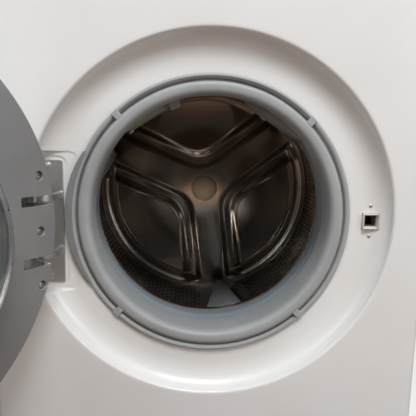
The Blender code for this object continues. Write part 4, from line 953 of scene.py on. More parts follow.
def latch_hole(piece):
    """Cuts the square hole for the lock's bezel into the sheet that is being edited."""
    reach, margin = 0.0117, 0.020
    for axis, middle in ((Vector((1.0, 0.0, 0.0)), LATCH_X), (Vector((0.0, 0.0, 1.0)), LATCH_RISE)):
        for side in (-1, 1):
            select_faces(piece, near_latch(margin))
            bpy.ops.mesh.bisect(plane_co=PORT + axis * (middle + side * reach), plane_no=axis)
    select_faces(piece, near_latch(reach))
    bpy.ops.mesh.delete(type="FACE")


def pocket_depth(x, rise, depth):
    """Presses the hinge's pocket, and the deeper seat of its plate, into the sheet."""
    radius = math.hypot(x, rise)
    clear_of_gasket = ease(0.1990, 0.2005, radius)
    for recess, corner, edge, below in ((HINGE_POCKET, POCKET_CORNER, 0.0012, 0.0011),
                                        (PLATE_RECESS, PLATE_RECESS_CORNER, 0.0010, 0.0025)):
        outside = rectangle_distance(x, rise, recess, corner)
        share = ease(edge, -edge, outside) if outside < edge else 0.0
        depth += (max(depth, sizes().dish_depth + below) - depth) * share * clear_of_gasket
    return depth


# Gasket

def gasket():
    size = sizes()
    edge, lip = size.gasket_radius, size.lip_radius
    seen = [(edge, 0.0248), (edge, 0.0215), (edge - 0.003, 0.0200), (edge - 0.0068, 0.0218),
            (edge - 0.0072, 0.0262), (edge - 0.0102, 0.0262), (edge - 0.0106, 0.0205),
            (edge - 0.0135, 0.0175), (0.1800, 0.0166), (0.1735, 0.0170), (lip + 0.0015, 0.0205),
            (lip - 0.0003, 0.0270), (0.1690, 0.0480), (0.1735, 0.0860), (0.1800, 0.0930), (0.1825, 0.1000),
            (0.1800, 0.1055), (0.1770, 0.1100), (0.1768, 0.1160), (0.1790, 0.1240),
            (0.1795, 0.1300), (0.1795, 0.1355)]
    hidden = [(0.1863, 0.1355), (0.1863, 0.1260), (0.1832, 0.1150), (0.1868, 0.1000),
              (0.1785, 0.0850), (lip + 0.0048, 0.0300), (0.1800, 0.0228),
              (edge - 0.0140, 0.0285), (edge - 0.0050, 0.0285), (edge - 0.0045, 0.0248)]
    ring = lathe("gasket_bellows", softened(seen + hidden), steps=216, smooth=60.0)
    place(ring, "cabinet", "grey_rubber", FINISHES["gasket"])
    ring.parent = None
    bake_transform(ring)
    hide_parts("gasket")
    ribs_and_lugs(edge)
    drip_flap(edge)
    lobes()


def arc_bar(name, start, end, inner, outer, front, back, steps, bevel=0.0006):
    """A bar bent round the drum's axis between two angles."""
    outline = arc((0.0, 0.0), outer, start, end, steps) + arc((0.0, 0.0), inner, end, start, steps)
    return front_slab(name, outline, front, back, 60.0, bevel)


def ribs_and_lugs(edge):
    """Two ribs over the top and the bottom of the edge, with a lug at each end."""
    for number, (start, end) in enumerate(((43.5, 135.0), (225.0, 314.0)), start=1):
        rib = arc_bar("rib", start, end, edge - 0.0046, edge - 0.0022, 0.0188, 0.0222, 60)
        lugs = []
        for angle, turn in ((start, 1), (end, -1)):
            lugs.append(arc_bar("lug", angle, angle + turn * 3.0, edge - 0.0128, edge - 0.0006,
                                0.0180, 0.0225, 4, 0.0008))
        piece = join(f"gasket_rib_{number}", [rib] + lugs)
        place(piece, "cabinet", "grey_rubber", FINISHES["gasket"])


def drip_flap(edge):
    """The crescent flap on the hinge side."""
    outer, inner = [], []
    for step in range(41):
        share = step / 40
        angle = math.radians(153.0 + 57.0 * share)
        bulge = 0.0075 * math.sin(math.pi * share) ** 0.7
        outer.append(((edge + bulge) * math.cos(angle), (edge + bulge) * math.sin(angle)))
        inner.append(((edge - 0.0035) * math.cos(angle), (edge - 0.0035) * math.sin(angle)))
    flap = front_slab("gasket_flap", outer + inner[::-1], 0.0195, 0.0243, 60.0, 0.0012)
    place(flap, "cabinet", "grey_rubber", FINISHES["gasket_dark"])


def lobes():
    """The spray nozzle at the upper left and the rubber hump at the upper right."""
    nozzle = lobe("spray_nozzle", 137.0, 106.0, 0.1625, 0.046, 0.074)
    place(nozzle, "cabinet", "grey_plastic", FINISHES["nozzle"])
    guard = arc_bar("spray_guard", 112.0, 106.5, 0.1590, 0.1700, 0.040, 0.050, 8, 0.0012)
    place(guard, "cabinet", "grey_rubber", FINISHES["gasket_dark"])
    hump = lobe("gasket_hump", 74.0, 40.0, 0.1600, 0.046, 0.080)
    place(hump, "cabinet", "grey_rubber", FINISHES["gasket_dark"])


def lobe(name, start, end, level, front, back):
    """A lens-shaped swelling on the inside of the gasket."""
    inner, outer = [], []
    for step in range(25):
        share = step / 24
        angle = math.radians(start + (end - start) * share)
        swell = math.sin(math.pi * share) ** 0.45
        radius = 0.1715 - (0.1715 - level) * swell
        inner.append((radius * math.cos(angle), radius * math.sin(angle)))
        outer.append((0.1722 * math.cos(angle), 0.1722 * math.sin(angle)))
    return front_slab(name, outer + inner[::-1], front, back, 60.0, 0.0016)


def gasket_clamp():
    """The wire that holds the gasket's edge in its groove."""
    radius = sizes().gasket_radius - 0.0087
    ring = lathe("clamp_wire", arc((radius, 0.0250), 0.0008, 0, 330, 8), steps=180, smooth=60.0)
    place(ring, "cabinet", "zinc_steel", FINISHES["zinc"], "gasket_clamp")


# Drum

def petal_relief(x, rise):
    """How far the drum's back is pressed away from the front: troughs, plateaus and outer ridges."""
    size = sizes()
    radius = math.hypot(x, rise)
    angle = math.degrees(math.atan2(rise, x))
    before = min((angle - spoke) % 360.0 for spoke in SPOKE_ANGLES)
    after = min((spoke - angle) % 360.0 for spoke in SPOKE_ANGLES)
    half_spoke = 0.0275
    near = soft_distance(radius, before) - half_spoke
    far = soft_distance(radius, after) - half_spoke
    inside = soft_least(near, far, 0.034)
    rim = size.drum_radius - 0.0075 - radius
    ends = ease(0.004, 0.020, soft_least(rim, inside + 0.020, 0.020))
    trough = ease(0.0, 0.014, inside) * ends
    plateau = ease(0.026, 0.043, inside) * ease(0.018, 0.028, rim)
    ridge = ease(0.018, 0.046, inside) * bump_at(rim, 0.0120, 0.0055)
    second = ease(0.012, 0.046, inside) * bump_at(rim, 0.0040, 0.0028)
    bowl, petal_middle, petal_reach = 0.0, 0.150, 0.085
    for spoke in SPOKE_ANGLES:
        middle = math.radians(spoke + 60.0)
        away = math.hypot(x - petal_middle * math.cos(middle), rise - petal_middle * math.sin(middle))
        bowl = max(bowl, 1.0 - (away / petal_reach) ** 2)
    press = size.trough_depth * trough - (size.plateau_rise - 0.0080 * bowl) * plateau
    return press - 0.0125 * ridge - 0.0070 * second


def soft_distance(radius, degrees):
    """Distance from a spoke's centre line, which goes on growing past a right angle."""
    return radius * math.sin(math.radians(min(degrees, 90.0)))


def bump_at(value, centre, width):
    return math.exp(-((value - centre) / width) ** 2)


def drum_back():
    """The pressed back of the drum: three petals between three spokes."""
    size = sizes()
    edge = size.drum_radius - 0.0016
    depth = 0.448
    ring_count, centre_hole = 96, 0.0004
    rings = [edge * step / ring_count for step in range(ring_count, 0, -1)] + [centre_hole]
    front = [(radius, crown(radius)) for radius in rings]
    piece = lathe("drum_back_plate", front, steps=360, closed=False)
    for vert in piece.data.vertices:
        x, rise = vert.co.x - PORT.x, vert.co.z - PORT.z
        vert.co.y += petal_relief(x, rise)
    face_the_front(piece, 60.0)
    seam = [(edge + 0.0002, depth - 0.0060), (edge + 0.0002, depth + 0.0040),
            (edge - 0.0030, depth + 0.0040), (edge - 0.0030, depth - 0.0012)]
    rim = lathe("drum_seam", softened(seam), steps=240, smooth=60.0)
    place(rim, "drum", "drum_steel", FINISHES["drum"])
    place(piece, "drum", "drum_steel", FINISHES["drum"], "drum_back")
    cap_line = [(0.0, -0.0030), (0.0230, -0.0026), (0.0282, -0.0014), (0.0292, 0.0004), (0.0292, 0.0030),
                (0.0, 0.0030)]
    cap = lathe("hub_cap", [(radius, depth - 0.0122 + level) for radius, level in cap_line], steps=96)
    place(cap, "drum", "drum_steel", FINISHES["cap"])


def crown(radius):
    """The back's broad dome toward the hub."""
    return 0.4475 - 0.0115 * (1.0 - ease(0.020, 0.150, radius))


def drum_shell():
    """The drum's wall with rings of holes that are drawn outwards, and its rolled mouth."""
    size = sizes()
    rows, around_count = size.hole_rows, size.holes_around * 2
    front, back = 0.172, 0.440
    radius = size.drum_radius - 0.0008
    line = [(radius, front + (back - front) * step / rows) for step in range(rows + 1)]
    wall = lathe("drum_wall", line, steps=around_count, closed=False)

    def holed(face):
        middle = face.calc_center_median() - PORT
        row = int((middle.y - front) / (back - front) * rows)
        column = int((math.degrees(math.atan2(middle.z, middle.x)) % 360.0) / 360.0 * around_count)
        return (row + column) % 2 == 0 and 0 < row < rows - 1 and clear_of_lifters(middle)

    edit(wall)
    select_faces(wall, holed)
    bpy.ops.mesh.inset(thickness=0.0021, use_individual=True)
    bpy.ops.mesh.inset(thickness=0.0007, depth=0.0008, use_individual=True)
    bpy.ops.mesh.delete(type="FACE")
    bpy.ops.object.mode_set(mode="OBJECT")
    rounder = wall.modifiers.new("round holes", "SUBSURF")
    rounder.levels = 1
    rounder.render_levels = 1
    apply_step(wall, rounder)
    shade(wall, 50.0)
    mouth, sheet, end = size.drum_mouth_radius, 0.0007, 0.4530
    shoulder = (size.drum_radius - 0.016, 0.1695)
    outline = [(mouth, 0.160), (mouth + 0.0005, 0.152)] + arc((mouth + 0.004, 0.1535), 0.0035, 180, 270, 5)
    outline += [(size.drum_radius - 0.018, 0.1535)] + arc(shoulder, (0.0152, 0.016), 270, 360, 6)
    outline += [(radius, front), (radius + sheet, front)] + arc(shoulder, (0.0159, 0.0168), 360, 270, 6)
    outline += [(mouth + 0.004, 0.1492), (mouth - 0.0009, 0.1515), (mouth - 0.0009, 0.160)]
    lip = lathe("drum_mouth", outline, steps=216)
    tail = lathe("drum_tail", [(radius, back), (radius, end), (radius + sheet, end), (radius + sheet, back)],
                 steps=216)
    place(wall, "drum", "drum_steel", FINISHES["drum"], "drum_shell")
    place(join("drum_mouth", [lip, tail]), "drum", "drum_steel", FINISHES["drum"])


def clear_of_lifters(middle):
    """Whether a place on the drum's wall is free of the lifters' feet."""
    angle = math.degrees(math.atan2(middle.z, middle.x))
    for lifter_angle in LIFTER_ANGLES:
        off = abs((angle - lifter_angle + 180.0) % 360.0 - 180.0)
        half_angle, foot_end = 9.0, 0.398
        if off < half_angle and middle.y < foot_end:
            return False
    return True


def lifters():
    """Ribs that are wide in front and drawn to a point behind, with one facet studded."""
    base, top, ridge_x, ridge_rise = sizes().drum_radius - 0.0030, LIFTER_TOP, 0.010, 0.008

    def corner(x, y, z):
        behind = y > 0
        if z < 0:
            half, depth = (0.019, 0.395) if behind else (0.046, 0.170)
            level = math.sqrt(base ** 2 - half ** 2)
        else:
            half, depth = (0.006, 0.393) if behind else (LIFTER_HALF, 0.160)
            level = top + (LIFTER_FALL if behind else 0.0)
        return (x * half, depth, -level)

    for number, degrees in enumerate(LIFTER_ANGLES, start=1):
        piece = tapered_block(f"drum_lifter_{number}", corner)
        edit(piece)
        select_faces(piece, lambda face: face.normal.z > 0.5)
        bpy.ops.mesh.bisect(plane_co=(ridge_x, 0.16, -top), plane_no=(0.9985, 0.0545, 0.0))
        bpy.ops.object.mode_set(mode="OBJECT")
        for vert in piece.data.vertices:
            on_ridge = abs(vert.co.x - ridge_x) < 0.013 and abs(abs(vert.co.x) - LIFTER_HALF) > 0.004
            if on_ridge and vert.co.z > -top - 0.003 and vert.co.y < 0.17:
                vert.co.z += ridge_rise
        bevelled(piece, 0.0045, 40.0, 4, 15.0)
        piece.data.transform(to_lifter(degrees))
        place(piece, "drum", "grey_plastic", FINISHES["blue_grey"], f"lifter_{number}")
        studs(number, degrees)


def to_lifter(degrees):
    """Takes a shape modelled at the bottom, round the drum's axis, to a lifter's place."""
    return Matrix.Translation(PORT) @ Matrix.Rotation(-math.radians(degrees + 90.0), 4, "Y")


def studs(number, degrees):
    """Small studs in rows on a lifter's left facet."""
    rows, columns, pitch = 16, 7, 0.0052
    clear_selection()
    bpy.ops.mesh.primitive_cone_add(vertices=8, radius1=0.0015, radius2=0.0008, depth=0.0014)
    pattern = bpy.context.object
    settle(pattern, 50.0)
    copies = []
    for row in range(rows):
        for column in range(columns):
            along = (row + 0.5 * (column % 2)) / rows
            half = 0.032 + (0.006 - 0.032) * along
            x = -half + 0.005 + column * pitch
            if x > 0.010 - 0.010 * along - 0.003 or x < -half + 0.004:
                continue
            slope = max(0.0, (x + half) / (half + 0.010))
            rise = -(LIFTER_TOP + LIFTER_FALL * along) + 0.008 * (1 - along) * slope
            twin = copy_of(pattern, "stud")
            spot = Matrix.Translation((x, 0.166 + 0.218 * along, rise + 0.0003))
            twin.data.transform(to_lifter(degrees) @ spot)
            copies.append(twin)
    bpy.data.objects.remove(pattern)
    place(join(f"lifter_studs_{number}", copies), "drum", "grey_plastic", FINISHES["blue_grey"])


# Hinge

HINGE_X = HINGE.x - PORT.x
HINGE_DEPTH = HINGE.y - FRONT
HINGE_RISE = sum(EAR_RISES) / 2
EAR_REACH = 0.0225
PLATE_BACK = 0.0272
PLATE = 0.0028


def hinge_plate():
    """The plate in its pocket, two curved ears with square roots, and two rivets."""
    right = HINGE_X + EAR_REACH + 0.0035
    left = right - 0.040
    half_high = 0.0865
    front = PLATE_BACK - PLATE
    outline = rounded_rectangle(left, HINGE_RISE - half_high, right, HINGE_RISE + half_high, 0.003)
    plate = front_slab("hinge_plate_sheet", outline, front, PLATE_BACK, 30.0, 0.0005)
    shapes = [plate]
    for rise in EAR_RISES:
        shapes += hinge_ear(rise)
    for side in (-1, 1):
        spot = at((left + right) / 2, front, HINGE_RISE + side * 0.078)
        head = [(0.0, -0.0024), (0.0025, -0.0021), (0.0045, -0.0012), (0.0055, 0.0004), (0.0, 0.0004)]
        shapes.append(lathe("rivet", head, centre=spot, steps=32))
    piece = join("hinge_plate_assembly", shapes)
    place(piece, "cabinet", "zinc_steel", FINISHES["bright"], "hinge_plate")


def hinge_ear(rise):
    """One gooseneck with a rolled knuckle and a square root on the plate."""
    half = 0.0035
    centre = (HINGE_X, HINGE_DEPTH + EAR_REACH)
    outer = arc(centre, EAR_REACH + half, -90, 0, 16)
    inner = arc(centre, EAR_REACH - half, 0, -90, 16)
    outline = outer + [(outer[-1][0], PLATE_BACK - PLATE / 2), (inner[0][0], PLATE_BACK - PLATE / 2)] + inner
    neck = flat_slab("ear", outline, rise - 0.0045, rise + 0.0045, 40.0, 0.0006)
    centre, up = at(HINGE_X, HINGE_DEPTH, rise), Vector((0.0, 0.0, 1.0))
    knuckle = stub("knuckle", centre - up * 0.0049, centre + up * 0.0049, 0.0059, bevel=0.0005)
    root = block("root", at(outer[-1][0] - 0.0075, PLATE_BACK - PLATE - 0.0052, rise - 0.0052),
                 at(outer[-1][0] + 0.0006, PLATE_BACK - PLATE / 2, rise + 0.0052), 0.0008)
    for shape in (knuckle, neck):
        carve(shape, stub("bore", centre - up * 0.01, centre + up * 0.01, PIN_BORE))
    return [neck, knuckle, root]


# Door lock

def door_lock():
    """The cream bezel with its tapered mouth, the body behind it, the lever inside and two screws."""
    half = 0.0112
    back = sizes().dish_depth + 0.0014
    bezel = block("lock_bezel", at(LATCH_X - half, 0.0186, LATCH_RISE - half),
                  at(LATCH_X + half, back + 0.0010, LATCH_RISE + half), 0.0010)
    body = block("lock_body", at(LATCH_X - 0.018, back, LATCH_RISE - 0.040),
                 at(LATCH_X + 0.018, back + 0.032, LATCH_RISE + 0.040), 0.0020)
    mouth_front, mouth_back, mouth_half = 0.0180, 0.0330, 0.01025
    slot_wide, slot_high = 0.0165, 0.0120

    def corner(x, y, z):
        if y > 0:
            return at(LATCH_X + x * slot_wide / 2, mouth_back, LATCH_RISE + z * slot_high / 2)
        return at(LATCH_X + x * mouth_half, mouth_front, LATCH_RISE + z * mouth_half)

    for piece in (bezel, body):
        carve(piece, settle(tapered_block("mouth", corner)))
        carve(piece, block("throat", at(LATCH_X - slot_wide / 2, 0.0325, LATCH_RISE - slot_high / 2),
                           at(LATCH_X + slot_wide / 2, 0.0520, LATCH_RISE + slot_high / 2)))
        shade(piece, 30.0)
    place(bezel, "cabinet", "white_plastic", FINISHES["cream"])
    place(body, "cabinet", "white_plastic", FINISHES["dark_grey"], "door_lock")
    lever = block("lock_lever", at(LATCH_X + 0.0064, 0.0345, LATCH_RISE - 0.0050),
                  at(LATCH_X + 0.0081, 0.0425, LATCH_RISE + 0.0050), 0.0004)
    place(lever, "cabinet", "zinc_steel", FINISHES["brass"])
    for number, rise in enumerate(LATCH_SCREW_RISES, start=1):
        dome = [(0.0, -0.0021), (0.0016, -0.0019), (0.0026, -0.0012), (0.0030, 0.0), (0.0016, 0.0),
                (0.0016, 0.006), (0.0, 0.006)]
        screw = lathe(f"lock_screw_head_{number}", [(radius, 0.0246 + level) for radius, level in dome],
                      centre=at(LATCH_X, 0.0, rise), steps=32)
        for turn in (0.0, 90.0):
            slot = block("cross", at(LATCH_X - 0.0016, 0.0215, rise - 0.00035),
                         at(LATCH_X + 0.0016, 0.0233, rise + 0.00035))
            carve(screw, turn_about(slot, at(LATCH_X, 0.0, rise), 35.0 + turn, "Y"))
        shade(screw, 30.0)
        place(screw, "cabinet", "zinc_steel", FINISHES["bright"], f"lock_screw_{number}")


# Door

DOOR_FRONT = -0.0395
DOOR_BACK = 0.0105


def ear_slots():
    """The two slots in the door that let the hinge's ears in."""
    half = 0.00625
    return [block("slot", at(HINGE_X - 0.030, HINGE_DEPTH - 0.0115, rise - half),
                  at(HINGE_X + 0.038, DOOR_BACK + 0.010, rise + half)) for rise in EAR_RISES]


def door_ring():
    """The white outer ring with its rolled edge and the hollow grip at the side."""
    size = sizes()
    radius, wall, front = size.door_radius, 0.0025, DOOR_FRONT
    window = size.window_radius
    outline = [(window, front + 0.0068), (window + 0.0008, front + 0.0056), (0.205, front)]
    outline += arc((radius - 0.020, front + 0.018), (0.020, 0.018), -90, 0, 14)
    outline += [(radius, 0.0072), (radius - 0.0006, 0.0077), (radius - wall, 0.0077)]
    outline += arc((radius - 0.020, front + 0.018), (0.020 - wall, 0.018 - wall), 0, -90, 14)
    outline += [(0.205, front + wall), (window, front + 0.0065 + wall)]
    ring = lathe("door_ring", outline, steps=240)
    carve(ring, *ear_slots())
    grip_half = 0.045
    carve(ring, block("grip", at(radius - 0.030, front + 0.010, -grip_half),
                      at(radius + 0.010, front + 0.034, grip_half), 0.0035, 4))
    shade(ring, 35.0)
    place(swing_open(ring), "door", "white_plastic", FINISHES["plastic"], "door_outer_ring")
    liner_half = 0.0485
    cup = block("door_grip_cup", at(radius - 0.0345, front + 0.0080, -liner_half),
                at(radius - 0.0305, front + 0.0365, liner_half), 0.0015)
    place(swing_open(cup), "door", "grey_plastic", FINISHES["grey"])


def door_frame():
    """The grey inner frame that carries the glass, the pin, the screws and the latch."""
    size = sizes()
    radius, back = size.door_radius, DOOR_BACK
    inside = back - 0.0025
    collar = 0.1718
    round_off = 0.0014
    outline = [(radius, inside), (radius, back - round_off)]
    outline += arc((radius - round_off, back - round_off), round_off, 0, 90, 4)[1:]
    outline += [(0.1790, back), (0.1770, back - 0.0004), (collar + 0.0004, back - 0.0042),
                (collar, back - 0.0050), (collar, back - 0.014), (collar + 0.0025, back - 0.014),
                (collar + 0.0025, inside)]
    face = lathe("door_inner_ring", outline, steps=240)
    upper, lower = EAR_RISES
    weld_on(face, block("carrier", at(HINGE_X - 0.0038, HINGE_DEPTH - 0.005, lower + 0.01825),
                        at(HINGE_X + 0.010, back - 0.00125, upper - 0.00625), 0.0012))
    carve(face, stub("bore", at(HINGE_X, HINGE_DEPTH, lower), at(HINGE_X, HINGE_DEPTH, upper), PIN_BORE))
    carve(face, *ear_slots())
    for rise in COVER_SCREW_RISES:
        weld_on(face, screw_seat("boss", rise, -0.00125, -0.012, 0.0066))
    for rise in COVER_SCREW_RISES:
        carve(face, screw_seat("recess", rise, 0.01, -0.006, 0.0054))
        carve(face, screw_seat("countersink", rise, 0.0004, -0.0010, 0.0066, 0.0052))
    spot = at(LATCH_X, 0.0, LATCH_RISE)
    for side in (-1, 1):
        cheek = spot + Vector((0.0, 0.0, side * 0.0085))
        weld_on(face, block("cheek", cheek - Vector((0.008, 0.006, 0.0015)),
                            cheek + Vector((0.006, 0.0093, 0.0015))))
    carve(face, block("slot", spot - Vector((0.009, 0.0, 0.007)), spot + Vector((0.008, 0.02, 0.007)), 0.001))
    carve(face, stub("bore", spot - Vector((0.001, 0.0, 0.0091)), spot + Vector((-0.001, 0.0, 0.0091)),
                     PIN_BORE))
    shade(face, 35.0)
    place(swing_open(face), "door", "grey_plastic", FINISHES["grey"], "door_inner_frame")


def screw_seat(name, rise, start, end, radius, far_radius=None):
    """A round shape about a cover screw, from one depth to another, counted from the door's back."""
    return stub(name, at(COVER_SCREW_X, DOOR_BACK + start, rise), at(COVER_SCREW_X, DOOR_BACK + end, rise),
                radius, far_radius)


def cover_screws():
    """Three star-drive screws sunk in the door's inner frame."""
    for number, rise in enumerate(COVER_SCREW_RISES, start=1):
        seat = DOOR_BACK - 0.0057
        head = [(0.0, seat + 0.0036), (0.0026, seat + 0.0035), (0.0042, seat + 0.0024),
                (0.0047, seat + 0.0008), (0.0046, seat), (0.0, seat)]
        screw = lathe(f"cover_screw_head_{number}", head, centre=at(COVER_SCREW_X, 0.0, rise), steps=40)
        star = []
        for step in range(12):
            reach = 0.0021 if step % 2 == 0 else 0.0014
            angle = math.radians(30.0 * step)
            star.append((COVER_SCREW_X + reach * math.cos(angle), rise + reach * math.sin(angle)))
        carve(screw, front_slab("star", softened(star), seat + 0.0014, seat + 0.0080))
        shade(screw, 30.0)
        place(swing_open(screw), "door", "zinc_steel", FINISHES["bright"], f"cover_screw_{number}")


def door_glass():
    """The moulded bowl, thick at its flange, with a smooth nose."""
    outer = [(0.1715, -0.0035), (0.1715, 0.0005), (0.1665, 0.0045), (0.1630, 0.0300), (0.1500, 0.0600),
             (0.1340, 0.0850), (0.1080, 0.1000), (0.0600, 0.1070), (0.0, 0.1080)]
    inner = [(0.0, 0.1040), (0.0600, 0.1030), (0.1060, 0.0965), (0.1305, 0.0825), (0.1462, 0.0585),
             (0.1590, 0.0290), (0.1620, 0.0000), (0.1620, -0.0035)]
    outline = softened(outer, closed=False) + softened(inner, closed=False)
    bowl = lathe("glass_bowl", outline, steps=192, smooth=40.0)
    place(swing_open(bowl), "door", "clear_glass", FINISHES["glass"], "door_glass")


def door_window():
    """The dark dome over the door's outside."""
    front = DOOR_FRONT
    edge = sizes().window_radius - 0.0003
    outer = [(0.0, front - 0.0010), (0.080, front + 0.0005), (0.130, front + 0.0030),
             (edge - 0.001, front + 0.0064), (edge, front + 0.0072)]
    inner = [(edge, front + 0.0098), (0.130, front + 0.0060), (0.080, front + 0.0035), (0.0, front + 0.0020)]
    dome = lathe("window_dome", softened(outer, closed=False) + softened(inner, closed=False), steps=192)
    place(swing_open(dome), "door", "dark_plastic", FINISHES["smoked"], "door_window")


# Cabinet

def worktop():
    """A laminated board with a rounded edge all round."""
    low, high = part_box("worktop")
    outline = rounded_rectangle(low.x - PORT.x, low.y - FRONT, high.x - PORT.x, high.y - FRONT, 0.010, 8)
    board = flat_slab("worktop_board", outline, low.z - PORT.z, high.z - PORT.z, 40.0, 0.0035)
    place(board, "cabinet", "white_laminate", FINISHES["laminate"], "worktop")


def cabinet_wrap():
    """The bent sheet with rounded edges behind, the rear opening, two round holes and the louvres."""
    low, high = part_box("cabinet_wrap")
    sheet, bend = 0.0012, 0.006
    lip = 0.016
    half, front, back = high.x, low.y - FRONT, high.y - FRONT
    outer = [(half - lip, front)] + arc((half - 0.002, front + 0.002), 0.002, -90, 0, 3)
    outer += arc((half - bend, back - bend), bend, 0, 90, 6)
    outer += arc((bend - half, back - bend), bend, 90, 180, 6)
    outer += arc((0.002 - half, front + 0.002), 0.002, 180, 270, 3) + [(lip - half, front)]
    inner_bend = bend - sheet
    inner = [(lip - half, front + sheet), (sheet - half, front + sheet)]
    inner += arc((bend - half, back - bend), inner_bend, 180, 90, 6)
    inner += arc((half - bend, back - bend), inner_bend, 90, 0, 6)
    inner += [(half - sheet, front + sheet), (half - lip, front + sheet)]
    wrap = flat_slab("cabinet_sheet", outer + inner, low.z - PORT.z, high.z - PORT.z, 30.0)
    cover_low, cover_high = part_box("rear_cover")
    lap = 0.014
    carve(wrap, block("opening", (cover_low.x + lap, 0.250, cover_low.z + lap),
                      (cover_high.x - lap, 0.30, cover_high.z - lap), 0.010))
    carve(wrap, block("notch", at(0.0024 - half, -0.01, 0.320), at(half - 0.0024, 0.030, 0.50)))
    for node, radius in (("inlet_valve", 0.0135), ("mains_inlet", 0.0120)):
        spot = middle_of(node)
        carve(wrap, stub("hole", (spot.x, 0.26, spot.z), (spot.x, 0.29, spot.z), radius))
    louvre_half, louvre_high = 0.008, 0.0028
    for row in range(5):
        for column in range(6):
            x = -0.055 + 0.022 * column
            z = 0.732 + 0.0075 * row
            carve(wrap, block("louvre", (x - louvre_half, 0.26, z), (x + louvre_half, 0.29, z + louvre_high),
                              0.0012, 2))
    shade(wrap, 30.0)
    place(wrap, "cabinet", "white_enamel", FINISHES["enamel"], "cabinet_wrap")


def rear_cover():
    """The removable cover with its raised field and six screws."""
    low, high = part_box("rear_cover")
    sheet = 0.0012
    lap = low.y
    plate = block("rear_cover_sheet", low, (high.x, lap + sheet, high.z), 0.0005, 2)
    middle, margin, slope = (low + high) / 2, 0.031, 0.006

    def corner(x, y, z):
        inset = margin if y < 0 else margin + slope
        wide, tall = (high.x - low.x) / 2 - inset, (high.z - low.z) / 2 - inset
        return (middle.x + x * wide, lap + sheet / 2 if y < 0 else high.y, middle.z + z * tall)

    field = bevelled(settle(tapered_block("field", corner)), 0.0018, 40.0, 3, 20.0)
    piece = join("rear_cover_pressing", [plate, field])
    place(piece, "cabinet", "zinc_steel", FINISHES["zinc"], "rear_cover")
    screws = []
    for x in (low.x + 0.012, 0.0, high.x - 0.012):
        for z in (low.z + 0.010, high.z - 0.010):
            screws.append(stub("screw", (x, lap + sheet - 0.0002, z), (x, lap + sheet + 0.0022, z),
                               0.0045, 0.0036, 0.0004))
    place(join("rear_cover_screws", screws), "cabinet", "zinc_steel", FINISHES["bright"])


def front_strip(name, node, wall, bevel):
    """A front piece as wide as the machine, with rounded upright edges turned back."""
    low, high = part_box(node)
    half, back, bend = high.x, 0.014, PANEL_BEND
    outer = [(half, back)] + arc((half - bend, bend), bend, 0, -90, 8)
    outer += arc((bend - half, bend), bend, -90, -180, 8) + [(-half, back)]
    inner = [(wall - half, back)] + arc((bend - half, bend), bend - wall, -180, -90, 8)
    inner += arc((half - bend, bend), bend - wall, -90, 0, 8) + [(half - wall, back)]
    return flat_slab(name, outer + inner, low.z - PORT.z, high.z - PORT.z, 40.0, bevel)


def plinth():
    """The strip under the front sheet and the service flap in it."""
    strip = front_strip("plinth_strip", "plinth", 0.0025, 0.0008)
    flap_low, flap_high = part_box("service_flap")
    gap = 0.0010
    carve(strip, block("opening", (flap_low.x - gap, FRONT - 0.01, flap_low.z - gap),
                       (flap_high.x + gap, FRONT + 0.01, flap_high.z + gap), 0.0015, 2))
    shade(strip, 35.0)
    place(strip, "cabinet", "white_plastic", FINISHES["plastic"], "plinth")
    flap = block("service_flap_lid", flap_low, flap_high, 0.0008)
    middle = (flap_low + flap_high) / 2
    carve(flap, block("finger", (middle.x - 0.011, FRONT - 0.01, flap_high.z - 0.006),
                      (middle.x + 0.011, FRONT + 0.0013, flap_high.z + 0.01), 0.002))
    shade(flap, 35.0)
    place(flap, "flap", "white_plastic", FINISHES["plastic"], "service_flap")


# Controls

def control_panel():
    """The fascia with its openings, and what is set in it."""
    strip = front_strip("fascia_strip", "control_panel", 0.0025, 0.0010)
    drawer_low, drawer_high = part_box("detergent_drawer")
    edge = 0.001
    carve(strip, block("opening", (drawer_low.x - edge, FRONT - 0.01, drawer_low.z - edge),
                       (drawer_high.x + edge, FRONT + 0.01, drawer_high.z + edge), 0.0012, 2))
    window_low, window_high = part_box("display_window")
    carve(strip, block("opening", (window_low.x - 0.0003, FRONT - 0.01, window_low.z - 0.0003),
                       (window_high.x + 0.0003, FRONT + 0.01, window_high.z + 0.0003)))
    for node, gap in (("programme_knob", -0.0205), ("start_button", 0.0005)):
        low_corner, high_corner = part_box(node)
        radius = (high_corner.x - low_corner.x) / 2 + gap
        carve(strip, round_hole(front_of(node), radius, steps=64))
    for node in ("option_button_1", "option_button_2"):
        low_corner, high_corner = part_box(node)
        carve(strip, block("hole", (low_corner.x - 0.0005, FRONT - 0.01, low_corner.z - 0.0005),
                           (high_corner.x + 0.0005, FRONT + 0.01, high_corner.z + 0.0005), 0.0006, 2))
    shade(strip, 35.0)
    place(strip, "cabinet", "white_plastic", FINISHES["plastic"], "control_panel")
    dial_marks()
    display()
    buttons()


def dial_marks():
    """Dashes round the knob, raised a hair off the fascia."""
    spot = middle_of("programme_knob")
    marks = []
    for step in range(16):
        reach, long = 0.0345, 0.0022 if step % 4 else 0.0040
        mark = block("mark", (spot.x + reach - long / 2, FRONT - 0.00015, spot.z - 0.0004),
                     (spot.x + reach + long / 2, FRONT + 0.0004, spot.z + 0.0004))
        marks.append(turn_about(mark, spot, 90.0 + 22.5 * step, "Y"))
    place(join("dial_marks", marks), "cabinet", "grey_plastic", FINISHES["dark_grey"])


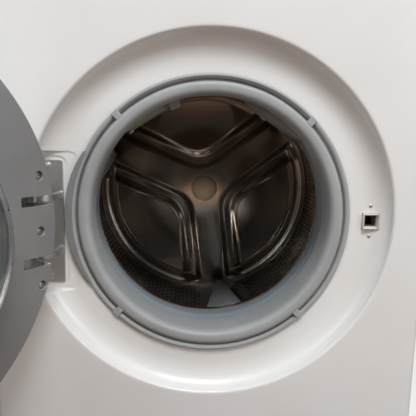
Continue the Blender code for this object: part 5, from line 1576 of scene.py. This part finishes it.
def knob():
    """A ribbed knob with a dished face and a pointer line."""
    low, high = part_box("programme_knob")
    spot = front_of("programme_knob")
    radius = (high.x - low.x) / 2
    front = low.y - FRONT
    outline = [(0.0, front + 0.0016), (radius - 0.009, front + 0.0012), (radius - 0.0055, front + 0.0002)]
    outline += arc((radius - 0.0042, front + 0.0022), 0.0022, 270, 340, 5)
    shaft, shaft_end = 0.005, 0.012
    outline += [(radius - 0.0006, -0.0022), (radius, -0.0016), (radius, -0.001), (shaft, -0.001),
                (shaft, shaft_end), (0.0, shaft_end)]
    body = lathe("knob_body", outline, centre=spot, steps=120)
    for step in range(30):
        groove = stub("groove", spot + Vector((radius + 0.0004, front - 0.002, 0.0)),
                      spot + Vector((radius + 0.0004, -0.0035, 0.0)), 0.0011, steps=12)
        carve(body, turn_about(groove, spot, 12.0 * step, "Y"))
    shade(body, 35.0)
    place(body, "knob", "grey_plastic", FINISHES["grey"], "programme_knob")
    line = block("knob_pointer", spot + Vector((-0.0006, front + 0.0001, radius - 0.0125)),
                 spot + Vector((0.0006, front + 0.0022, radius - 0.0045)), 0.0002, 2)
    place(line, "knob", "white_plastic", FINISHES["plastic"])


def display():
    """The smoked window, with three lit figures a hair off its face."""
    low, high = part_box("display_window")
    pane = block("display_pane", low, high, 0.0006)
    place(pane, "cabinet", "dark_plastic", FINISHES["smoked"], "display_window")
    bars = []
    digit_wide, digit_high, thick = 0.0085, 0.0150, 0.0012
    for number in range(3):
        left = low.x + 0.030 + number * 0.0150 + (0.005 if number else 0.0)
        bottom = (low.z + high.z) / 2 - digit_high / 2
        for level in (0.0, 0.5, 1.0):
            z = bottom + digit_high * level
            bars.append(segment(left + thick, z - thick / 2, left + digit_wide - thick, z + thick / 2, low.y))
        for x in (left, left + digit_wide):
            for start in (0.0, 0.5):
                z = bottom + digit_high * start
                bars.append(segment(x - thick / 2, z + thick, x + thick / 2, z + digit_high / 2 - thick,
                                    low.y))
    place(join("display_segments", bars), "cabinet", "white_plastic", FINISHES["lamp"])


def segment(left, low, right, high, face):
    return block("segment", (left, face - 0.0001, low), (right, face + 0.0004, high))


def buttons():
    """The start button with its mark, and two option keys."""
    low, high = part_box("start_button")
    spot = front_of("start_button")
    radius = (high.x - low.x) / 2
    front = low.y - FRONT
    outline = [(0.0, front + 0.0006), (radius - 0.004, front + 0.0003), (radius - 0.0022, front)]
    outline += arc((radius - 0.0014, front + 0.0014), 0.0014, 270, 360, 5) + [(radius, 0.008), (0.0, 0.008)]
    button = lathe("start_cap", outline, centre=spot, steps=96)
    place(button, "start", "grey_plastic", FINISHES["grey"], "start_button")
    bars = [block("bar", spot + Vector((x - 0.0008, front + 0.0001, -0.0035)),
                  spot + Vector((x + 0.0008, front + 0.0009, 0.0035)), 0.0002, 2)
            for x in (-0.0018, 0.0018)]
    place(join("start_mark", bars), "start", "white_plastic", FINISHES["plastic"])
    for number in (1, 2):
        low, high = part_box(f"option_button_{number}")
        key = block(f"option_key_{number}", low, high, 0.0012)
        place(key, f"option_{number}", "grey_plastic", FINISHES["grey"], f"option_button_{number}")


def drawer():
    """The drawer's front with its grip, and the tray with three rooms behind it."""
    low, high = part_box("detergent_drawer")
    wall = 0.002
    middle = (low.x + high.x) / 2
    face = block("drawer_front", low, (high.x, FRONT + 0.014, high.z), 0.0018)
    grip_half = 0.045
    grip = block("grip", (middle - grip_half, FRONT - 0.01, low.z - 0.02),
                 (middle + grip_half, FRONT + 0.0105, low.z + 0.0205), 0.004, 4)
    carve(face, grip)
    shade(face, 35.0)
    body_low = Vector((low.x + wall, FRONT + 0.0135, low.z + wall))
    body_high = Vector((high.x - wall, high.y, high.z - 0.011))
    tray = block("drawer_box", body_low, body_high, 0.002)
    room = (body_high.x - body_low.x - 4 * wall) / 3
    for step in range(3):
        left = body_low.x + wall + step * (room + wall)
        carve(tray, block("room", (left, FRONT + 0.016, body_low.z + wall),
                          (left + room, body_high.y - wall, body_high.z + 0.02), 0.004, 4))
    shade(tray, 35.0)
    piece = join("drawer_moulding", [face, tray])
    place(piece, "drawer", "white_plastic", FINISHES["plastic"], "detergent_drawer")


# Springs, feet and the pieces that only need a finish

def springs():
    """The two coil springs the tub hangs from."""
    for side in ("left", "right"):
        low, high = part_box(f"spring_{side}")
        middle = (low + high) / 2
        radius, turns, per_turn, tail = 0.0108, 16, 20, 0.012
        points = [Vector((middle.x, middle.y, high.z)), Vector((middle.x, middle.y, high.z - 0.006))]
        steps = turns * per_turn
        for step in range(steps + 1):
            angle = math.tau * step / per_turn
            level = high.z - tail - (high.z - low.z - 2 * tail) * step / steps
            points.append(Vector((middle.x + radius * math.cos(angle), middle.y + radius * math.sin(angle),
                                  level)))
        points += [Vector((middle.x, middle.y, low.z + 0.006)), Vector((middle.x, middle.y, low.z))]
        wire = rod_along(f"tub_spring_{side}", points, 0.0016, 2)
        place(wire, "cabinet", "zinc_steel", FINISHES["zinc"])
        wire.parent = None
        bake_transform(wire)
        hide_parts(f"spring_{side}")


def feet():
    """Tapered rubber feet."""
    for number in range(1, 5):
        low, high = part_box(f"foot_{number}")
        middle = (low + high) / 2
        foot = stub(f"foot_pad_{number}", (middle.x, middle.y, low.z), (middle.x, middle.y, high.z),
                    0.0164, 0.0178, 0.0008, 48)
        place(foot, "cabinet", "black_rubber", FINISHES["black_rubber"], f"foot_{number}")


CARRIED = {
    "zinc": ("base_pan", "top_crossbar", "hinge_pin", "damper_rod_left", "damper_rod_right", "motor",
             "drum_bearing"),
    "bright": ("latch_hook", "motor_pulley"),
    "dark_grey": ("drain_pump", "damper_cylinder_left", "damper_cylinder_right"),
    "grey": ("filter_cap", "dispenser_housing"),
    "tub": ("tub_front", "tub_rear"),
    "plastic": ("inlet_valve",),
    "black_rubber": ("drive_belt", "mains_inlet"),
    "aluminium": ("drum_spider", "drum_pulley"),
    "weight": ("front_counterweight", "top_counterweight"),
}


def carried_pieces():
    """Gives each node that keeps its own shape the finish of the real piece."""
    for finish, nodes in CARRIED.items():
        for name in nodes:
            node = frame["nodes"][name]
            node.data.materials.clear()
            node.data.materials.append(FINISHES[finish])


# Operators, panel and registration

class WasherStage(bpy.types.Operator):
    """Add the floor, the lights and the camera"""
    bl_idname = "washer.stage"
    bl_label = "Stage"

    def execute(self, context):
        camera()
        make_finishes()
        stage()
        return {"FINISHED"}


class WasherFrontSheet(bpy.types.Operator):
    """Model the dished front sheet"""
    bl_idname = "washer.front_sheet"
    bl_label = "Front sheet"

    def execute(self, context):
        front_panel()
        return {"FINISHED"}


class WasherGasket(bpy.types.Operator):
    """Model the gasket, its ribs, flap and lobes, and its clamp"""
    bl_idname = "washer.gasket"
    bl_label = "Gasket"

    def execute(self, context):
        gasket()
        gasket_clamp()
        return {"FINISHED"}


class WasherDrum(bpy.types.Operator):
    """Model the drum's back, wall and mouth"""
    bl_idname = "washer.drum"
    bl_label = "Drum"

    def execute(self, context):
        drum_back()
        drum_shell()
        return {"FINISHED"}


class WasherLifters(bpy.types.Operator):
    """Model the three lifters"""
    bl_idname = "washer.lifters"
    bl_label = "Lifters"

    def execute(self, context):
        lifters()
        return {"FINISHED"}


class WasherHinge(bpy.types.Operator):
    """Model the hinge plate with its ears and rivets"""
    bl_idname = "washer.hinge"
    bl_label = "Hinge"

    def execute(self, context):
        hinge_plate()
        return {"FINISHED"}


class WasherLock(bpy.types.Operator):
    """Model the door lock and its screws"""
    bl_idname = "washer.lock"
    bl_label = "Door lock"

    def execute(self, context):
        door_lock()
        return {"FINISHED"}


class WasherDoor(bpy.types.Operator):
    """Model the door's ring, inner frame, screws, glass and window"""
    bl_idname = "washer.door"
    bl_label = "Door"

    def execute(self, context):
        door_ring()
        door_frame()
        cover_screws()
        door_glass()
        door_window()
        return {"FINISHED"}


class WasherCabinet(bpy.types.Operator):
    """Model the worktop, the cabinet's sheet, the rear cover, the plinth and the feet"""
    bl_idname = "washer.cabinet"
    bl_label = "Cabinet"

    def execute(self, context):
        worktop()
        cabinet_wrap()
        rear_cover()
        plinth()
        feet()
        return {"FINISHED"}


class WasherControls(bpy.types.Operator):
    """Model the fascia, display, knob, buttons and drawer"""
    bl_idname = "washer.controls"
    bl_label = "Controls"

    def execute(self, context):
        control_panel()
        knob()
        drawer()
        return {"FINISHED"}


class WasherInside(bpy.types.Operator):
    """Model the springs and finish the pieces that keep their shape"""
    bl_idname = "washer.inside"
    bl_label = "Inner pieces"

    def execute(self, context):
        springs()
        carried_pieces()
        return {"FINISHED"}


OPERATORS = (WasherStage, WasherFrontSheet, WasherGasket, WasherDrum, WasherLifters, WasherHinge, WasherLock,
             WasherDoor, WasherCabinet, WasherControls, WasherInside)


class WasherPanel(bpy.types.Panel):
    """Lists the machine's pieces, sizes and colours"""
    bl_idname = "VIEW3D_PT_washer"
    bl_label = "Washing machine"
    bl_space_type = "VIEW_3D"
    bl_region_type = "UI"
    bl_category = "Washing machine"

    def draw(self, context):
        for operator in OPERATORS:
            self.layout.operator(operator.bl_idname)
        for group in (context.scene.washer_sizes, context.scene.washer_colours):
            for name in group.__annotations__:
                self.layout.prop(group, name)


CLASSES = (WasherSizes, WasherColours) + OPERATORS + (WasherPanel,)


def register():
    for cls in CLASSES:
        bpy.utils.register_class(cls)
    bpy.types.Scene.washer_sizes = bpy.props.PointerProperty(type=WasherSizes)
    bpy.types.Scene.washer_colours = bpy.props.PointerProperty(type=WasherColours)


def unregister():
    del bpy.types.Scene.washer_colours
    del bpy.types.Scene.washer_sizes
    for cls in reversed(CLASSES):
        bpy.utils.unregister_class(cls)


def main():
    register()
    bpy.ops.washer.stage()
    bpy.ops.washer.front_sheet()
    bpy.ops.washer.gasket()
    bpy.ops.washer.drum()
    bpy.ops.washer.lifters()
    bpy.ops.washer.hinge()
    bpy.ops.washer.lock()
    bpy.ops.washer.door()
    bpy.ops.washer.cabinet()
    bpy.ops.washer.controls()
    bpy.ops.washer.inside()


if __name__ == "__main__":
    main()
